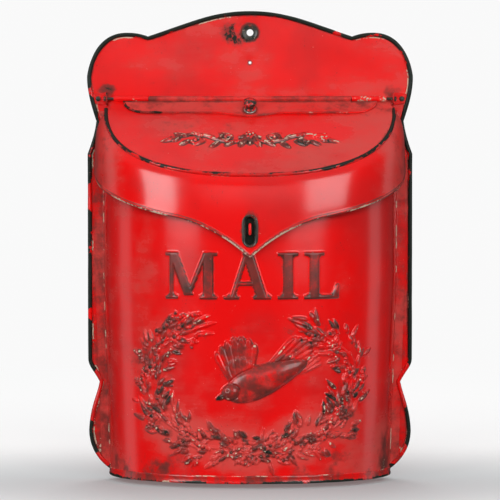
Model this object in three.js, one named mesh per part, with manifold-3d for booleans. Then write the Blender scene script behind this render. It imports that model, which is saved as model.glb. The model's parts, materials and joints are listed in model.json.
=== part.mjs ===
// A wall-hung letter box of pressed sheet steel, in millimetres.
//
// +X is to the right of a person facing the box, +Z is up, and the wall is the plane y = 0.
// "Depth" below means distance out from the wall, so a depth d lies at y = -d.
// The origin is the middle of the back plate's flat rear face.
//
// The box comes apart into: the scalloped back plate with its hanging eyelet, the D-shaped body
// and its floor, two riveted hinge ears, one hinge rod, the sloping lid with its skirt and
// hasp tongue, the letter flap with its knob, washer and screw, and the padlock staple with the
// backing plate inside the body that its legs are bent over.

import * as THREE from 'three';
import { mergeVertices } from 'three/addons/utils/BufferGeometryUtils.js';
import Module from 'manifold-3d';

const wasm = await Module();
wasm.setup();

// ---- Driving dimensions ---------------------------------------------------------------------

const SHEET = 0.8; // thickness of every pressed sheet
const GAP = 0.3; // clearance kept between pieces that touch
const INSET = 0.1; // how far a tail stops short of the wall, or one solid runs into the next
const RIM_RADIUS = 1.8; // rolled edge of the back plate and of the lid
const ROUND_SIDES = 8; // facets round a rolled edge or a wire
const FINE_SIDES = 16; // facets round a knob, a rivet or a washer

const PLATE_TOP = 195;
const PLATE_SIDE = 135.5; // half width between the straight sides
const SLAB_MARGIN = 20; // how far cutting slabs reach past what they cut
const HANGER_Z = 177; // height of the hanging hole
const HANGER_HOLE_RADIUS = 2.8;
const HANGER_FLANGE_RADIUS = 6.8;
const HANGER_FLANGE_THICKNESS = 1;
const EYELET_WALL = 0.9; // wall of an eyelet inside the sheet
const PILOT_Z = 152;
const PILOT_RADIUS = 1.2;

const BODY_HALF_WIDTH = 121.8; // above TAPER_Z
const BODY_FRONT = 86.5;
const FOOT_HALF_WIDTH = 116.5; // at the floor
const FOOT_FRONT = 83.5;
const BODY_POWER = 2.1; // 2 is an ellipse, more is squarer
const BODY_STATIONS = 36;
const TAPER_Z = -30;
const FLANGE_WIDTH = 7.5;
const FLANGE_CORNER = 1.2;
const BODY_BOTTOM = -190.2;
const BODY_TOP_DROP = 15; // the body's mouth lies this far below the lid

const BAND_HEIGHT = 5.5; // folded band of the floor round the foot of the body
const FLOOR_TAB_HEIGHT = 8; // upturned rear edge of the floor
const FLOOR_REAR_STEP = 20; // how much narrower that edge is at each side

const HINGE_DEPTH = 8.5;
const HINGE_Z = 122;
const ROD_RADIUS = 1.2;
const KNUCKLE_RADIUS = 2.4;
const KNUCKLE_SPLIT = 84; // the flap's knuckle ends here and the lid's begin
const KNUCKLE_END = 113.5;
const KNUCKLE_PLAY = 0.5; // end play between the flap's knuckle and the lid's
const ROD_HEAD_RADIUS = 2.1;
const ROD_HEAD_LENGTH = 1.8;

const EAR_X = 118.6; // inner face of an ear
const EAR_THICKNESS = 1.2;
const EAR_RADIUS = 5;
const EAR_FOOT_END = 131;
const EAR_HALF_HEIGHT = 5.6;
const EAR_FOOT_TAPER = 1.5;
const RIVET_X = 126.6;
const RIVET_RADIUS = 1.1;
const RIVET_HEAD_RADIUS = 2.2;
const RIVET_HEAD_HEIGHT = 1.2;

const LID_SLOPE = THREE.MathUtils.degToRad(36.3);
const LID_HALF_WIDTH = 119.5; // at the middle of the rolled seam
const LID_SIDE_START = 10.5; // distance down the slope at which the seam begins
const LID_REACH = 100; // distance down the slope from the rod to the seam's front
const LID_POWER = 2.4;
const LID_STATIONS = 36;
const LID_CORNER = 117; // half width of the lid beside the ears
const LID_NOTCH = 7.4; // distance down the slope that it keeps this width
const SLOT_HALF_WIDTH = 94;
const SLOT_NEAR = 4.6;
const SLOT_FAR = 15.4;
const SLOT_CORNER = 4;
const SLOT_BAY_MARGIN = 1.4; // room round the knob's screw head

const SKIRT_STATIONS = 44;
const SKIRT_STEPS = [0, 0.06, 0.15, 0.3, 0.55, 1]; // rows from the seam to the lower edge
const SKIRT_TOP_DROP = 2.3;
const SKIRT_TOP_OUT = 1;
const SKIRT_SIDE_OUT = 9.3; // how far the skirt bells out at the sides
const SKIRT_FRONT_OUT = 4.6; // and at the front
const SKIRT_BELL = 9; // how quickly it reaches that
const SKIRT_FRONT_DROP = 39;
const SKIRT_SIDE_EXTRA = 10;
const SKIRT_SIDE_DEPTH = 82; // depth at which the side's extra drop has faded out
const SKIRT_CORNER = 6; // rounding of its rear lower corner
const TONGUE_DROP = 28.5;
const TONGUE_HALF_WIDTH = 60;
const TONGUE_POWER = 1.9;

const HASP_LOW = 4.2; // lower and upper end of the hasp opening
const HASP_HIGH = 27.6;
const HASP_HALF_WIDTH = 3.2;
const HASP_LIP = 3.3; // width of the eyelet's oval lip
const HASP_LIP_THICKNESS = 1.2;

const STAPLE_Z = 17.4;
const STAPLE_HALF_SPAN = 3.8;
const STAPLE_WIRE = 1.2; // wire radius
const STAPLE_FRONT = 101;
const STAPLE_BEND = 1.8;
const STAPLE_TAIL = 5;
const BACKING_HALF_WIDTH = 8;
const BACKING_HALF_HEIGHT = 12;
const BACKING_THICKNESS = 1.2;

const FLAP_HALF_WIDTH = 105.5;
const FLAP_REACH = 18.5; // distance down the slope to its lower edge
const FLAP_OGEE_DROP = 4.5; // the droop under the knob
const FLAP_OGEE_HALF_WIDTH = 30;
const FLAP_END_LENGTH = 19; // length of its rounded ends
const FLAP_TUCK = 0.4; // how far its plate runs into its knuckle
const KNOB_REACH = 14.8;
const KNOB_RADIUS = 5.7;
const KNOB_HEIGHT = 9.4;
const KNOB_BORE_DEPTH = 6;
const WASHER_RADIUS = 5.2;
const WASHER_THICKNESS = 1;
const SCREW_RADIUS = 1.3;
const SCREW_HEAD_RADIUS = 3;
const SCREW_HEAD_HEIGHT = 1.8;
const SCREW_REACH = 5.4; // how far it goes up into the knob

const PLATE_FRONT = SHEET + GAP; // depth at which pieces fixed to the back plate begin
const CLEAR = ROD_RADIUS + GAP; // radius of the rod's holes

// ---- Materials ------------------------------------------------------------------------------

const redEnamel = () => new THREE.MeshStandardMaterial({ color: 0xc8201c, roughness: 0.32, metalness: 0.1 });
const wornEnamel = () => new THREE.MeshStandardMaterial({ color: 0x1c211c, roughness: 0.5, metalness: 0.3 });
const bareSteel = () => new THREE.MeshStandardMaterial({ color: 0x8d8a84, roughness: 0.45, metalness: 0.9 });

// ---- Solids ---------------------------------------------------------------------------------

// Six times the volume enclosed by a mesh, negative when its faces point in.
function signedVolume(geometry) {
  const position = geometry.attributes.position;
  const index = geometry.index;
  const [a, b, c] = [new THREE.Vector3(), new THREE.Vector3(), new THREE.Vector3()];
  let sum = 0;
  for (let i = 0; i < index.count; i += 3) {
    a.fromBufferAttribute(position, index.getX(i));
    b.fromBufferAttribute(position, index.getX(i + 1));
    c.fromBufferAttribute(position, index.getX(i + 2));
    sum += a.dot(b.cross(c));
  }
  return sum;
}

// A closed geometry as a solid that can be joined and cut, with its faces turned outwards.
function solid(geometry) {
  const bare = geometry.clone();
  bare.deleteAttribute('normal');
  bare.deleteAttribute('uv');
  const merged = mergeVertices(bare, 1e-4);
  const triangles = Uint32Array.from(merged.index.array);
  if (signedVolume(merged) < 0) {
    for (let i = 0; i < triangles.length; i += 3) {
      [triangles[i], triangles[i + 1]] = [triangles[i + 1], triangles[i]];
    }
  }
  const vertices = Float32Array.from(merged.attributes.position.array);
  return new wasm.Manifold(new wasm.Mesh({ numProp: 3, vertProperties: vertices, triVerts: triangles }));
}

function geometryOf(body) {
  const mesh = body.getMesh();
  const geometry = new THREE.BufferGeometry();
  geometry.setAttribute('position', new THREE.BufferAttribute(Float32Array.from(mesh.vertProperties), 3));
  geometry.setIndex(new THREE.BufferAttribute(Uint32Array.from(mesh.triVerts), 1));
  geometry.computeVertexNormals();
  return geometry;
}

function piece(name, body, material) {
  const mesh = new THREE.Mesh(geometryOf(body), material);
  mesh.name = name;
  return mesh;
}

// ---- Plane curves: every point is a Vector2 -------------------------------------------------

const vec = (x, y) => new THREE.Vector2(x, y);

const mirrored = (points) => points.map((p) => vec(-p.x, p.y)).reverse();

// The same line with a given number of points, evenly spaced along it.
function evenly(points, count) {
  const path = new THREE.CurvePath();
  for (let i = 1; i < points.length; i += 1) {
    path.add(new THREE.LineCurve(points[i - 1], points[i]));
  }
  path.arcLengthDivisions = points.length * 2;
  return path.getSpacedPoints(count - 1).map((p) => vec(p.x, p.y));
}

// A D seen from above: from (-half, rear) out to (0, front) and back to (half, rear).
function dCurve(half, rear, front, power, count) {
  const fine = 240;
  const points = [];
  for (let i = 0; i <= fine; i += 1) {
    const angle = Math.PI * (i / fine - 0.5);
    const across = Math.sign(Math.sin(angle)) * Math.abs(Math.sin(angle)) ** (2 / power);
    const out = Math.abs(Math.cos(angle)) ** (2 / power);
    points.push(vec(half * across, rear + (front - rear) * out));
  }
  points[0].set(-half, rear);
  points[fine].set(half, rear);
  return evenly(points, count);
}

// Unit vectors to the right of the direction of travel, lengthened at corners so that an
// offset keeps its distance.
function sideways(points, closed = false) {
  const last = points.length - 1;
  return points.map((p, i) => {
    const before = closed || i > 0 ? points[i === 0 ? last : i - 1] : p;
    const after = closed || i < last ? points[i === last ? 0 : i + 1] : p;
    const into = p.clone().sub(before);
    const away = after.clone().sub(p);
    if (into.lengthSq() === 0) into.copy(away);
    if (away.lengthSq() === 0) away.copy(into);
    into.normalize();
    away.normalize();
    const right = vec(into.y + away.y, -into.x - away.x).normalize();
    const stretch = Math.max(0.5, right.x * into.y - right.y * into.x);
    return right.divideScalar(stretch);
  });
}

function offset(points, distance, closed = false) {
  const right = sideways(points, closed);
  return points.map((p, i) => p.clone().addScaledVector(right[i], distance));
}

// ---- Builders -------------------------------------------------------------------------------

// A flat outline given as (x, y), thickened upwards from a height.
function slab(outline, thickness, height, holes = []) {
  const shape = new THREE.Shape(outline);
  holes.forEach((hole) => shape.holes.push(new THREE.Path(hole)));
  const options = { depth: thickness, bevelEnabled: false };
  return new THREE.ExtrudeGeometry(shape, options).translate(0, 0, height);
}

// A flat outline given as (x, z), thickened out from the wall from one depth to another.
function upright(outline, near, far, holes = []) {
  return slab(outline, far - near, near, holes).rotateX(Math.PI / 2);
}

// A flat outline given as (y, z), thickened along x.
function sideOn(outline, from, to, holes = []) {
  const turn = new THREE.Matrix4().makeBasis(
    new THREE.Vector3(0, 1, 0),
    new THREE.Vector3(0, 0, 1),
    new THREE.Vector3(1, 0, 0),
  );
  return slab(outline, to - from, from, holes).applyMatrix4(turn);
}

function circle(x, y, radius, sides = FINE_SIDES) {
  const points = [];
  for (let i = 0; i < sides; i += 1) {
    const angle = (2 * Math.PI * i) / sides;
    points.push(vec(x + radius * Math.cos(angle), y + radius * Math.sin(angle)));
  }
  return points;
}

// A long round-ended opening standing on end, centred on x = 0.
function roundEnded(halfWidth, low, high) {
  const shape = new THREE.Path();
  shape.absarc(0, high - halfWidth, halfWidth, 0, Math.PI);
  shape.absarc(0, low + halfWidth, halfWidth, Math.PI, 2 * Math.PI);
  return shape.getPoints(8);
}

// A turned piece: profile points are (radius, height) and it closes on its axis, along +Z.
function turned(profile, sides = FINE_SIDES) {
  return new THREE.LatheGeometry(profile.map(([r, h]) => vec(r, h)), sides).rotateX(Math.PI / 2);
}

// A round bar through points that all lie in a plane with the given normal.
function bar(path, radius, normal, closed = false, sides = ROUND_SIDES) {
  const rings = path.map((p, i) => {
    const last = path.length - 1;
    const before = closed || i > 0 ? path[i === 0 ? last : i - 1] : p;
    const after = closed || i < last ? path[i === last ? 0 : i + 1] : p;
    const along = after.clone().sub(before).normalize();
    const across = along.clone().cross(normal);
    return Array.from({ length: sides }, (_, k) => {
      const angle = (2 * Math.PI * (k + 0.5)) / sides;
      const ringPoint = p.clone().addScaledVector(across, radius * Math.cos(angle));
      return ringPoint.addScaledVector(normal, radius * Math.sin(angle));
    });
  });
  const points = rings.flat();
  const faces = [];
  const count = closed ? path.length : path.length - 1;
  for (let i = 0; i < count; i += 1) {
    const next = (i + 1) % path.length;
    for (let k = 0; k < sides; k += 1) {
      const side = (k + 1) % sides;
      faces.push([i * sides + k, next * sides + k, next * sides + side]);
      faces.push([i * sides + k, next * sides + side, i * sides + side]);
    }
  }
  if (!closed) {
    const end = (path.length - 1) * sides;
    for (let k = 1; k < sides - 1; k += 1) {
      faces.push([0, k, k + 1]);
      faces.push([end, end + k + 1, end + k]);
    }
  }
  return meshOf(points, faces);
}

function meshOf(points, faces) {
  const geometry = new THREE.BufferGeometry();
  geometry.setAttribute('position', new THREE.Float32BufferAttribute(points.flatMap((p) => p.toArray()), 3));
  geometry.setIndex(faces.flat());
  return geometry;
}

// A curved sheet: rows of points on its outer face and the matching rows on its inner face.
function sheet(outer, inner) {
  const rows = outer.length;
  const columns = outer[0].length;
  const half = rows * columns;
  const points = [...outer.flat(), ...inner.flat()];
  const faces = [];
  const quad = (a, b, c, d) => faces.push([a, b, c], [a, c, d]);
  const at = (r, c) => r * columns + c;
  for (let r = 0; r < rows - 1; r += 1) {
    for (let c = 0; c < columns - 1; c += 1) {
      quad(at(r, c), at(r, c + 1), at(r + 1, c + 1), at(r + 1, c));
      quad(half + at(r, c), half + at(r + 1, c), half + at(r + 1, c + 1), half + at(r, c + 1));
    }
  }
  for (let c = 0; c < columns - 1; c += 1) {
    const end = rows - 1;
    quad(at(0, c), half + at(0, c), half + at(0, c + 1), at(0, c + 1));
    quad(at(end, c), at(end, c + 1), half + at(end, c + 1), half + at(end, c));
  }
  for (let r = 0; r < rows - 1; r += 1) {
    const end = columns - 1;
    quad(at(r, 0), at(r + 1, 0), half + at(r + 1, 0), half + at(r, 0));
    quad(at(r, end), half + at(r, end), half + at(r + 1, end), at(r + 1, end));
  }
  return meshOf(points, faces);
}

// ---- Back plate -----------------------------------------------------------------------------

// Right half of the scalloped outline, from the top centre down, as cubic curves.
const plateCurves = [
  [[30, PLATE_TOP], [46, 187], [85, 174]], // low arch down to the first notch
  [[92, 176.5], [97, 177.2], [104, 177]], // up into the shoulder
  [[122, 176.5], [133, 161], [135.8, 141]], // round the shoulder
  [[136.2, 130], [133, 118], [128.2, 103.3]], // in to the waist notch
  [[129.2, 95], [131, 88], [PLATE_SIDE, 76]], // out of the waist
];
const plateFootCurves = [
  [[PLATE_SIDE, -102], [130.5, -105], [126, -114.5]], // in to the lower notch
  [[128, -126], [134, -136], [134.8, -155]], // out to the foot lobe
  [[134.8, -174], [122, -190], [100, -PLATE_TOP]], // round the foot lobe
];

function plateOutline() {
  const path = new THREE.Path();
  path.moveTo(0, PLATE_TOP);
  plateCurves.forEach(([a, b, end]) => path.bezierCurveTo(...a, ...b, ...end));
  path.lineTo(PLATE_SIDE, -95);
  plateFootCurves.forEach(([a, b, end]) => path.bezierCurveTo(...a, ...b, ...end));
  path.lineTo(0, -PLATE_TOP);
  const right = path.getPoints(7);
  const left = mirrored(right).slice(1, -1);
  return [...right, ...left];
}

const outline = plateOutline();

// Everything from the wall out to just past the rolled rim, apart from the area inside it.
function rimZone() {
  const inside = offset(outline, 2 * RIM_RADIUS + GAP, true);
  const far = PLATE_TOP + SLAB_MARGIN;
  const block = [vec(-far, -far), vec(far, -far), vec(far, far), vec(-far, far)];
  const depth = 2 * RIM_RADIUS + GAP;
  return solid(upright(block, -1, depth)).subtract(solid(upright(inside, -2, depth + 1)));
}

const besideRim = rimZone();

function backPlate() {
  const flat = offset(outline, RIM_RADIUS, true);
  const holes = [
    circle(0, HANGER_Z, HANGER_HOLE_RADIUS + EYELET_WALL + GAP),
    circle(0, PILOT_Z, PILOT_RADIUS, ROUND_SIDES),
    circle(-RIVET_X, HINGE_Z, RIVET_RADIUS + GAP, ROUND_SIDES),
    circle(RIVET_X, HINGE_Z, RIVET_RADIUS + GAP, ROUND_SIDES),
  ];
  const line = flat.map((p) => new THREE.Vector3(p.x, -RIM_RADIUS, p.y));
  const bead = bar(line, RIM_RADIUS, new THREE.Vector3(0, 1, 0), true);
  return solid(upright(flat, 0, SHEET, holes)).add(solid(bead));
}

// Pressed ring round the hanging hole, its flange on the front of the plate.
function hangerEyelet() {
  const face = PLATE_FRONT + HANGER_FLANGE_THICKNESS;
  const profile = [
    [HANGER_HOLE_RADIUS, INSET],
    [HANGER_HOLE_RADIUS + EYELET_WALL, INSET],
    [HANGER_HOLE_RADIUS + EYELET_WALL, PLATE_FRONT],
    [HANGER_FLANGE_RADIUS, PLATE_FRONT],
    [HANGER_FLANGE_RADIUS - 0.4, face],
    [HANGER_HOLE_RADIUS, face],
    [HANGER_HOLE_RADIUS, INSET],
  ];
  return solid(turned(profile).rotateX(Math.PI / 2).translate(0, 0, HANGER_Z));
}

// ---- Body -----------------------------------------------------------------------------------

// Height of the lid's mid surface above a depth, used for everything that follows its slope.
const slopeHeight = (depth) => HINGE_Z - (depth - HINGE_DEPTH) * Math.tan(LID_SLOPE);

// The body narrows from the taper's height down to its foot.
function tapered(z, foot, above) {
  return THREE.MathUtils.mapLinear(Math.min(z, TAPER_Z), BODY_BOTTOM, TAPER_Z, foot, above);
}

const widthAt = (z) => tapered(z, FOOT_HALF_WIDTH, BODY_HALF_WIDTH);
const frontAt = (z) => tapered(z, FOOT_FRONT, BODY_FRONT);

// Outer face of the body's D at a height, with (x, depth) points from left to right.
function bodyCurve(z, grow = 0) {
  const half = widthAt(z) + grow;
  const start = PLATE_FRONT + SHEET + FLANGE_CORNER;
  return dCurve(half, start, frontAt(z) + grow, BODY_POWER, BODY_STATIONS);
}

function flangedCurve(z) {
  const wall = bodyCurve(z);
  const half = widthAt(z);
  const flange = PLATE_FRONT + SHEET;
  const left = [vec(-half - FLANGE_WIDTH, flange), vec(-half - FLANGE_CORNER, flange)];
  return [...left, ...wall, ...mirrored(left)];
}

const standing = (points, z) => points.map((p) => new THREE.Vector3(p.x, -p.y, z(p)));

function bodyShell() {
  const levels = [
    [BODY_BOTTOM, () => BODY_BOTTOM],
    [TAPER_Z, () => TAPER_Z],
    [0, (p) => slopeHeight(p.y) - BODY_TOP_DROP],
  ];
  const outer = [];
  const inner = [];
  levels.forEach(([level, height]) => {
    const curve = flangedCurve(level);
    const heights = curve.map(height);
    const inside = offset(curve, SHEET);
    outer.push(curve.map((p, i) => new THREE.Vector3(p.x, -p.y, heights[i])));
    inner.push(inside.map((p, i) => new THREE.Vector3(p.x, -p.y, heights[i])));
  });
  let body = solid(sheet(outer, inner)).subtract(besideRim);
  [-1, 1].forEach((side) => {
    const hole = circle(0, STAPLE_Z + side * STAPLE_HALF_SPAN, STAPLE_WIRE + GAP);
    body = body.subtract(solid(upright(hole, BODY_FRONT - SLAB_MARGIN, BODY_FRONT + SLAB_MARGIN)));
  });
  return body;
}

// The floor: a D with a band folded up round the outside of the body and a tab up the back.
function bottomPlate() {
  const floorTop = BODY_BOTTOM - GAP;
  const outside = bodyCurve(BODY_BOTTOM, GAP + SHEET);
  const inside = offset(outside, SHEET);
  const low = floorTop - SHEET;
  const bandTop = BODY_BOTTOM + BAND_HEIGHT;
  const tab = BODY_BOTTOM + FLOOR_TAB_HEIGHT;
  const rear = PLATE_FRONT;
  const half = FOOT_HALF_WIDTH - FLOOR_REAR_STEP;
  const floorOutline = [...outside.map((p) => vec(p.x, -p.y)), vec(half, -rear), vec(-half, -rear)];
  const floor = slab(floorOutline, SHEET, low);
  const levels = [low, bandTop];
  const band = sheet(
    levels.map((z) => standing(outside, () => z)),
    levels.map((z) => standing(inside, () => z)),
  );
  const tabFace = rear + SHEET;
  const tabOutline = [vec(-half, -tabFace), vec(half, -tabFace), vec(half, -rear), vec(-half, -rear)];
  const back = slab(tabOutline, tab - low, low);
  return solid(floor).add(solid(band)).add(solid(back)).subtract(besideRim);
}

// ---- Hinge ----------------------------------------------------------------------------------

// An ear: a foot flat on the back plate and a tab standing out of it, pierced by the rod.
function hingeEar(side) {
  const tab = new THREE.Shape();
  tab.moveTo(-PLATE_FRONT, HINGE_Z - EAR_HALF_HEIGHT);
  tab.lineTo(-PLATE_FRONT, HINGE_Z + EAR_HALF_HEIGHT);
  tab.lineTo(-HINGE_DEPTH, HINGE_Z + EAR_RADIUS);
  tab.absarc(-HINGE_DEPTH, HINGE_Z, EAR_RADIUS, Math.PI / 2, 1.5 * Math.PI);
  const hole = circle(-HINGE_DEPTH, HINGE_Z, CLEAR);
  const from = side * EAR_X;
  const to = side * (EAR_X + EAR_THICKNESS);
  const outer = side * EAR_FOOT_END;
  const standingTab = sideOn(tab.getPoints(5), Math.min(from, to), Math.max(from, to), [hole]);
  const low = HINGE_Z - EAR_HALF_HEIGHT;
  const high = HINGE_Z + EAR_HALF_HEIGHT;
  const footOutline = [
    vec(from, low),
    vec(outer, low + EAR_FOOT_TAPER),
    vec(outer, high - EAR_FOOT_TAPER),
    vec(from, high),
  ];
  const rivetHole = circle(side * RIVET_X, HINGE_Z, RIVET_RADIUS + GAP, ROUND_SIDES);
  const foot = upright(footOutline, PLATE_FRONT, PLATE_FRONT + EAR_THICKNESS, [rivetHole]);
  return solid(standingTab).add(solid(foot)).subtract(besideRim);
}

// Domed rivet through an ear's foot, its tail flush with the rear of the plate.
function earRivet(side) {
  const seat = PLATE_FRONT + EAR_THICKNESS + GAP;
  const profile = [
    [0, INSET],
    [RIVET_RADIUS, INSET],
    [RIVET_RADIUS, seat],
    [RIVET_HEAD_RADIUS, seat],
    [RIVET_HEAD_RADIUS - 0.5, seat + 0.75 * RIVET_HEAD_HEIGHT],
    [0, seat + RIVET_HEAD_HEIGHT],
  ];
  return solid(turned(profile, 12).rotateX(Math.PI / 2).translate(side * RIVET_X, 0, HINGE_Z));
}

// The rod, with its ends peened over outside the ears.
function hingeRod() {
  const headStart = EAR_X + EAR_THICKNESS + GAP;
  const middle = headStart + ROD_HEAD_LENGTH / 2;
  const end = headStart + ROD_HEAD_LENGTH;
  const profile = [
    [0, -end],
    [ROD_HEAD_RADIUS - 0.5, -end],
    [ROD_HEAD_RADIUS, -middle],
    [ROD_HEAD_RADIUS, -headStart],
    [ROD_RADIUS, -headStart],
    [ROD_RADIUS, headStart],
    [ROD_HEAD_RADIUS, headStart],
    [ROD_HEAD_RADIUS, middle],
    [ROD_HEAD_RADIUS - 0.5, end],
    [0, end],
  ];
  return solid(turned(profile, 12).rotateY(Math.PI / 2).translate(0, -HINGE_DEPTH, HINGE_Z));
}

// A rolled knuckle between two places along the rod, in the lid's own frame.
function knuckle(from, to) {
  return solid(sideOn(circle(0, 0, KNUCKLE_RADIUS), from, to, [circle(0, 0, CLEAR)]));
}

// ---- Lid top, in its own frame: the rod is the X axis, -Y runs down the slope, +Z is its normal

const seamCurve = dCurve(LID_HALF_WIDTH, LID_SIDE_START, LID_REACH, LID_POWER, LID_STATIONS);
const LID_TOP_FACE = -KNUCKLE_RADIUS + SHEET;

// The letter slot, with a round bay at the middle that clears the knob's screw.
function slotOutline() {
  const path = new THREE.Path();
  const x = SLOT_HALF_WIDTH - SLOT_CORNER;
  const upper = -SLOT_NEAR - SLOT_CORNER;
  const lower = -SLOT_FAR + SLOT_CORNER;
  const quarter = Math.PI / 2;
  path.moveTo(-x, -SLOT_NEAR);
  path.absarc(-x, upper, SLOT_CORNER, quarter, 2 * quarter);
  path.absarc(-x, lower, SLOT_CORNER, 2 * quarter, 3 * quarter);
  path.absarc(0, -KNOB_REACH, SCREW_HEAD_RADIUS + SLOT_BAY_MARGIN, 2 * quarter, 4 * quarter);
  path.absarc(x, lower, SLOT_CORNER, 3 * quarter, 4 * quarter);
  path.absarc(x, upper, SLOT_CORNER, 0, quarter);
  return path.getPoints(5);
}

function lidTop() {
  const rear = KNUCKLE_RADIUS + 2 * GAP;
  const knuckleStart = KNUCKLE_SPLIT + KNUCKLE_PLAY;
  const leftRear = [
    vec(-knuckleStart, -rear),
    vec(-knuckleStart, 0),
    vec(-KNUCKLE_END, 0),
    vec(-LID_CORNER, -rear),
    vec(-LID_CORNER, -LID_NOTCH),
  ];
  const edge = seamCurve.map((p) => vec(p.x, -p.y));
  const around = [...leftRear, ...edge, ...mirrored(leftRear)];
  const plate = slab(around, SHEET, -KNUCKLE_RADIUS, [slotOutline()]);
  const line = edge.map((p) => new THREE.Vector3(p.x, p.y, -KNUCKLE_RADIUS + SHEET / 2));
  const bead = bar(line, RIM_RADIUS, new THREE.Vector3(0, 0, 1));
  return solid(plate)
    .add(solid(bead))
    .add(knuckle(-KNUCKLE_END, -knuckleStart))
    .add(knuckle(knuckleStart, KNUCKLE_END));
}

// ---- Letter flap and its knob, in the lid's frame ---------------------------------------------

const FLAP_BOTTOM = LID_TOP_FACE + GAP;

// Lower edge of the flap at a place across it.
function flapEdge(x) {
  const droop = Math.max(0, 1 - Math.abs(x) / FLAP_OGEE_HALF_WIDTH);
  const smooth = droop * droop * (3 - 2 * droop);
  return FLAP_REACH + FLAP_OGEE_DROP * smooth;
}

function flapOutline() {
  const straight = FLAP_HALF_WIDTH - FLAP_END_LENGTH;
  const near = KNUCKLE_RADIUS + 2 * GAP;
  const right = [];
  for (let i = 0; i <= 12; i += 1) {
    const x = (FLAP_OGEE_HALF_WIDTH * i) / 12;
    right.push(vec(x, -flapEdge(x)));
  }
  for (let i = 0; i <= 8; i += 1) {
    const angle = (Math.PI / 2) * (1 - i / 8);
    const x = straight + FLAP_END_LENGTH * Math.cos(angle);
    right.push(vec(x, -near - (FLAP_REACH - near) * Math.sin(angle)));
  }
  right.push(vec(KNUCKLE_SPLIT, -near));
  right.push(vec(KNUCKLE_SPLIT, -KNUCKLE_RADIUS + FLAP_TUCK));
  const left = mirrored(right).slice(0, -1);
  return [...left, ...right];
}

function letterFlap() {
  const plate = slab(flapOutline(), SHEET, FLAP_BOTTOM, [circle(0, -KNOB_REACH, SCREW_RADIUS + GAP)]);
  return solid(plate).add(knuckle(-KNUCKLE_SPLIT, KNUCKLE_SPLIT));
}

const WASHER_BOTTOM = FLAP_BOTTOM + SHEET + GAP;
const KNOB_BOTTOM = WASHER_BOTTOM + WASHER_THICKNESS + GAP;

// A squat knob with a waist and a domed top, bored from below for its screw.
function flapKnob() {
  const bore = SCREW_RADIUS + GAP;
  const profile = [
    [bore, 0],
    [4.4, 0],
    [3.7, 1.6],
    [3.9, 3.4],
    [5.3, 4.8],
    [KNOB_RADIUS, 6.1],
    [5.2, 7.6],
    [3.5, 8.8],
    [1.6, 9.3],
    [0, KNOB_HEIGHT],
    [0, KNOB_BORE_DEPTH],
    [bore, KNOB_BORE_DEPTH],
    [bore, 0],
  ];
  return solid(turned(profile).translate(0, -KNOB_REACH, KNOB_BOTTOM));
}

function knobWasher() {
  const hole = SCREW_RADIUS + GAP;
  const profile = [
    [hole, 0],
    [WASHER_RADIUS, 0],
    [WASHER_RADIUS - 0.4, WASHER_THICKNESS],
    [hole, WASHER_THICKNESS],
    [hole, 0],
  ];
  return solid(turned(profile).translate(0, -KNOB_REACH, WASHER_BOTTOM));
}

// Pan-headed screw up through the flap into the knob.
function knobScrew() {
  const seat = FLAP_BOTTOM - GAP;
  const base = seat - SCREW_HEAD_HEIGHT;
  const tip = KNOB_BOTTOM + SCREW_REACH;
  const profile = [
    [0, base],
    [SCREW_HEAD_RADIUS - 0.8, base],
    [SCREW_HEAD_RADIUS, base + 0.8],
    [SCREW_HEAD_RADIUS, seat],
    [SCREW_RADIUS, seat],
    [SCREW_RADIUS, tip],
    [0, tip],
  ];
  return solid(turned(profile, 12).translate(0, -KNOB_REACH, 0));
}

// ---- Lid skirt, in the box's frame ------------------------------------------------------------

const inBox = (x, along, normal) => new THREE.Vector3(
  x,
  -HINGE_DEPTH - along * Math.cos(LID_SLOPE) - normal * Math.sin(LID_SLOPE),
  HINGE_Z - along * Math.sin(LID_SLOPE) + normal * Math.cos(LID_SLOPE),
);

const seamLine = dCurve(LID_HALF_WIDTH, LID_SIDE_START, LID_REACH, LID_POWER, SKIRT_STATIONS)
  .map((p) => inBox(p.x, p.y, -KNUCKLE_RADIUS + SHEET / 2));

// How far the skirt hangs below the seam: deeper at the sides, with the hasp tongue in front.
function skirtDrop(point) {
  const depth = -point.y;
  const rear = -seamLine[0].y;
  const fade = THREE.MathUtils.clamp((depth - rear) / (SKIRT_SIDE_DEPTH - rear), 0, 1);
  const side = SKIRT_SIDE_EXTRA * (0.5 + 0.5 * Math.cos(Math.PI * fade));
  const nearCorner = Math.max(0, 1 - (depth - rear) / SKIRT_CORNER);
  const corner = SKIRT_CORNER * (1 - Math.sqrt(1 - nearCorner * nearCorner));
  const tongue = Math.max(0, 1 - Math.abs(point.x) / TONGUE_HALF_WIDTH) ** TONGUE_POWER;
  return SKIRT_FRONT_DROP + side - corner + TONGUE_DROP * tongue;
}

function lidSkirt() {
  const plan = seamLine.map((p) => vec(p.x, -p.y));
  const right = sideways(plan);
  const outer = [];
  const inner = [];
  SKIRT_STEPS.forEach((step) => {
    const outerRow = [];
    const innerRow = [];
    seamLine.forEach((p, i) => {
      const drop = SKIRT_TOP_DROP + (skirtDrop(p) - SKIRT_TOP_DROP) * step;
      const sideShare = Math.abs(right[i].x) ** 1.5;
      const reach = THREE.MathUtils.lerp(SKIRT_FRONT_OUT, SKIRT_SIDE_OUT, sideShare);
      const bell = 1 - Math.exp((SKIRT_TOP_DROP - drop) / SKIRT_BELL);
      const out = SKIRT_TOP_OUT + (reach - SKIRT_TOP_OUT) * bell;
      const place = (distance) => {
        const at = plan[i].clone().addScaledVector(right[i], -distance);
        return new THREE.Vector3(at.x, -at.y, p.z - drop);
      };
      outerRow.push(place(out));
      innerRow.push(place(out - SHEET));
    });
    outer.push(outerRow);
    inner.push(innerRow);
  });
  const margin = EYELET_WALL + GAP;
  const cut = roundEnded(HASP_HALF_WIDTH + margin, HASP_LOW - margin, HASP_HIGH + margin);
  const front = BODY_FRONT + GAP;
  return solid(sheet(outer, inner)).subtract(solid(upright(cut, front, front + SLAB_MARGIN)));
}

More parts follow.
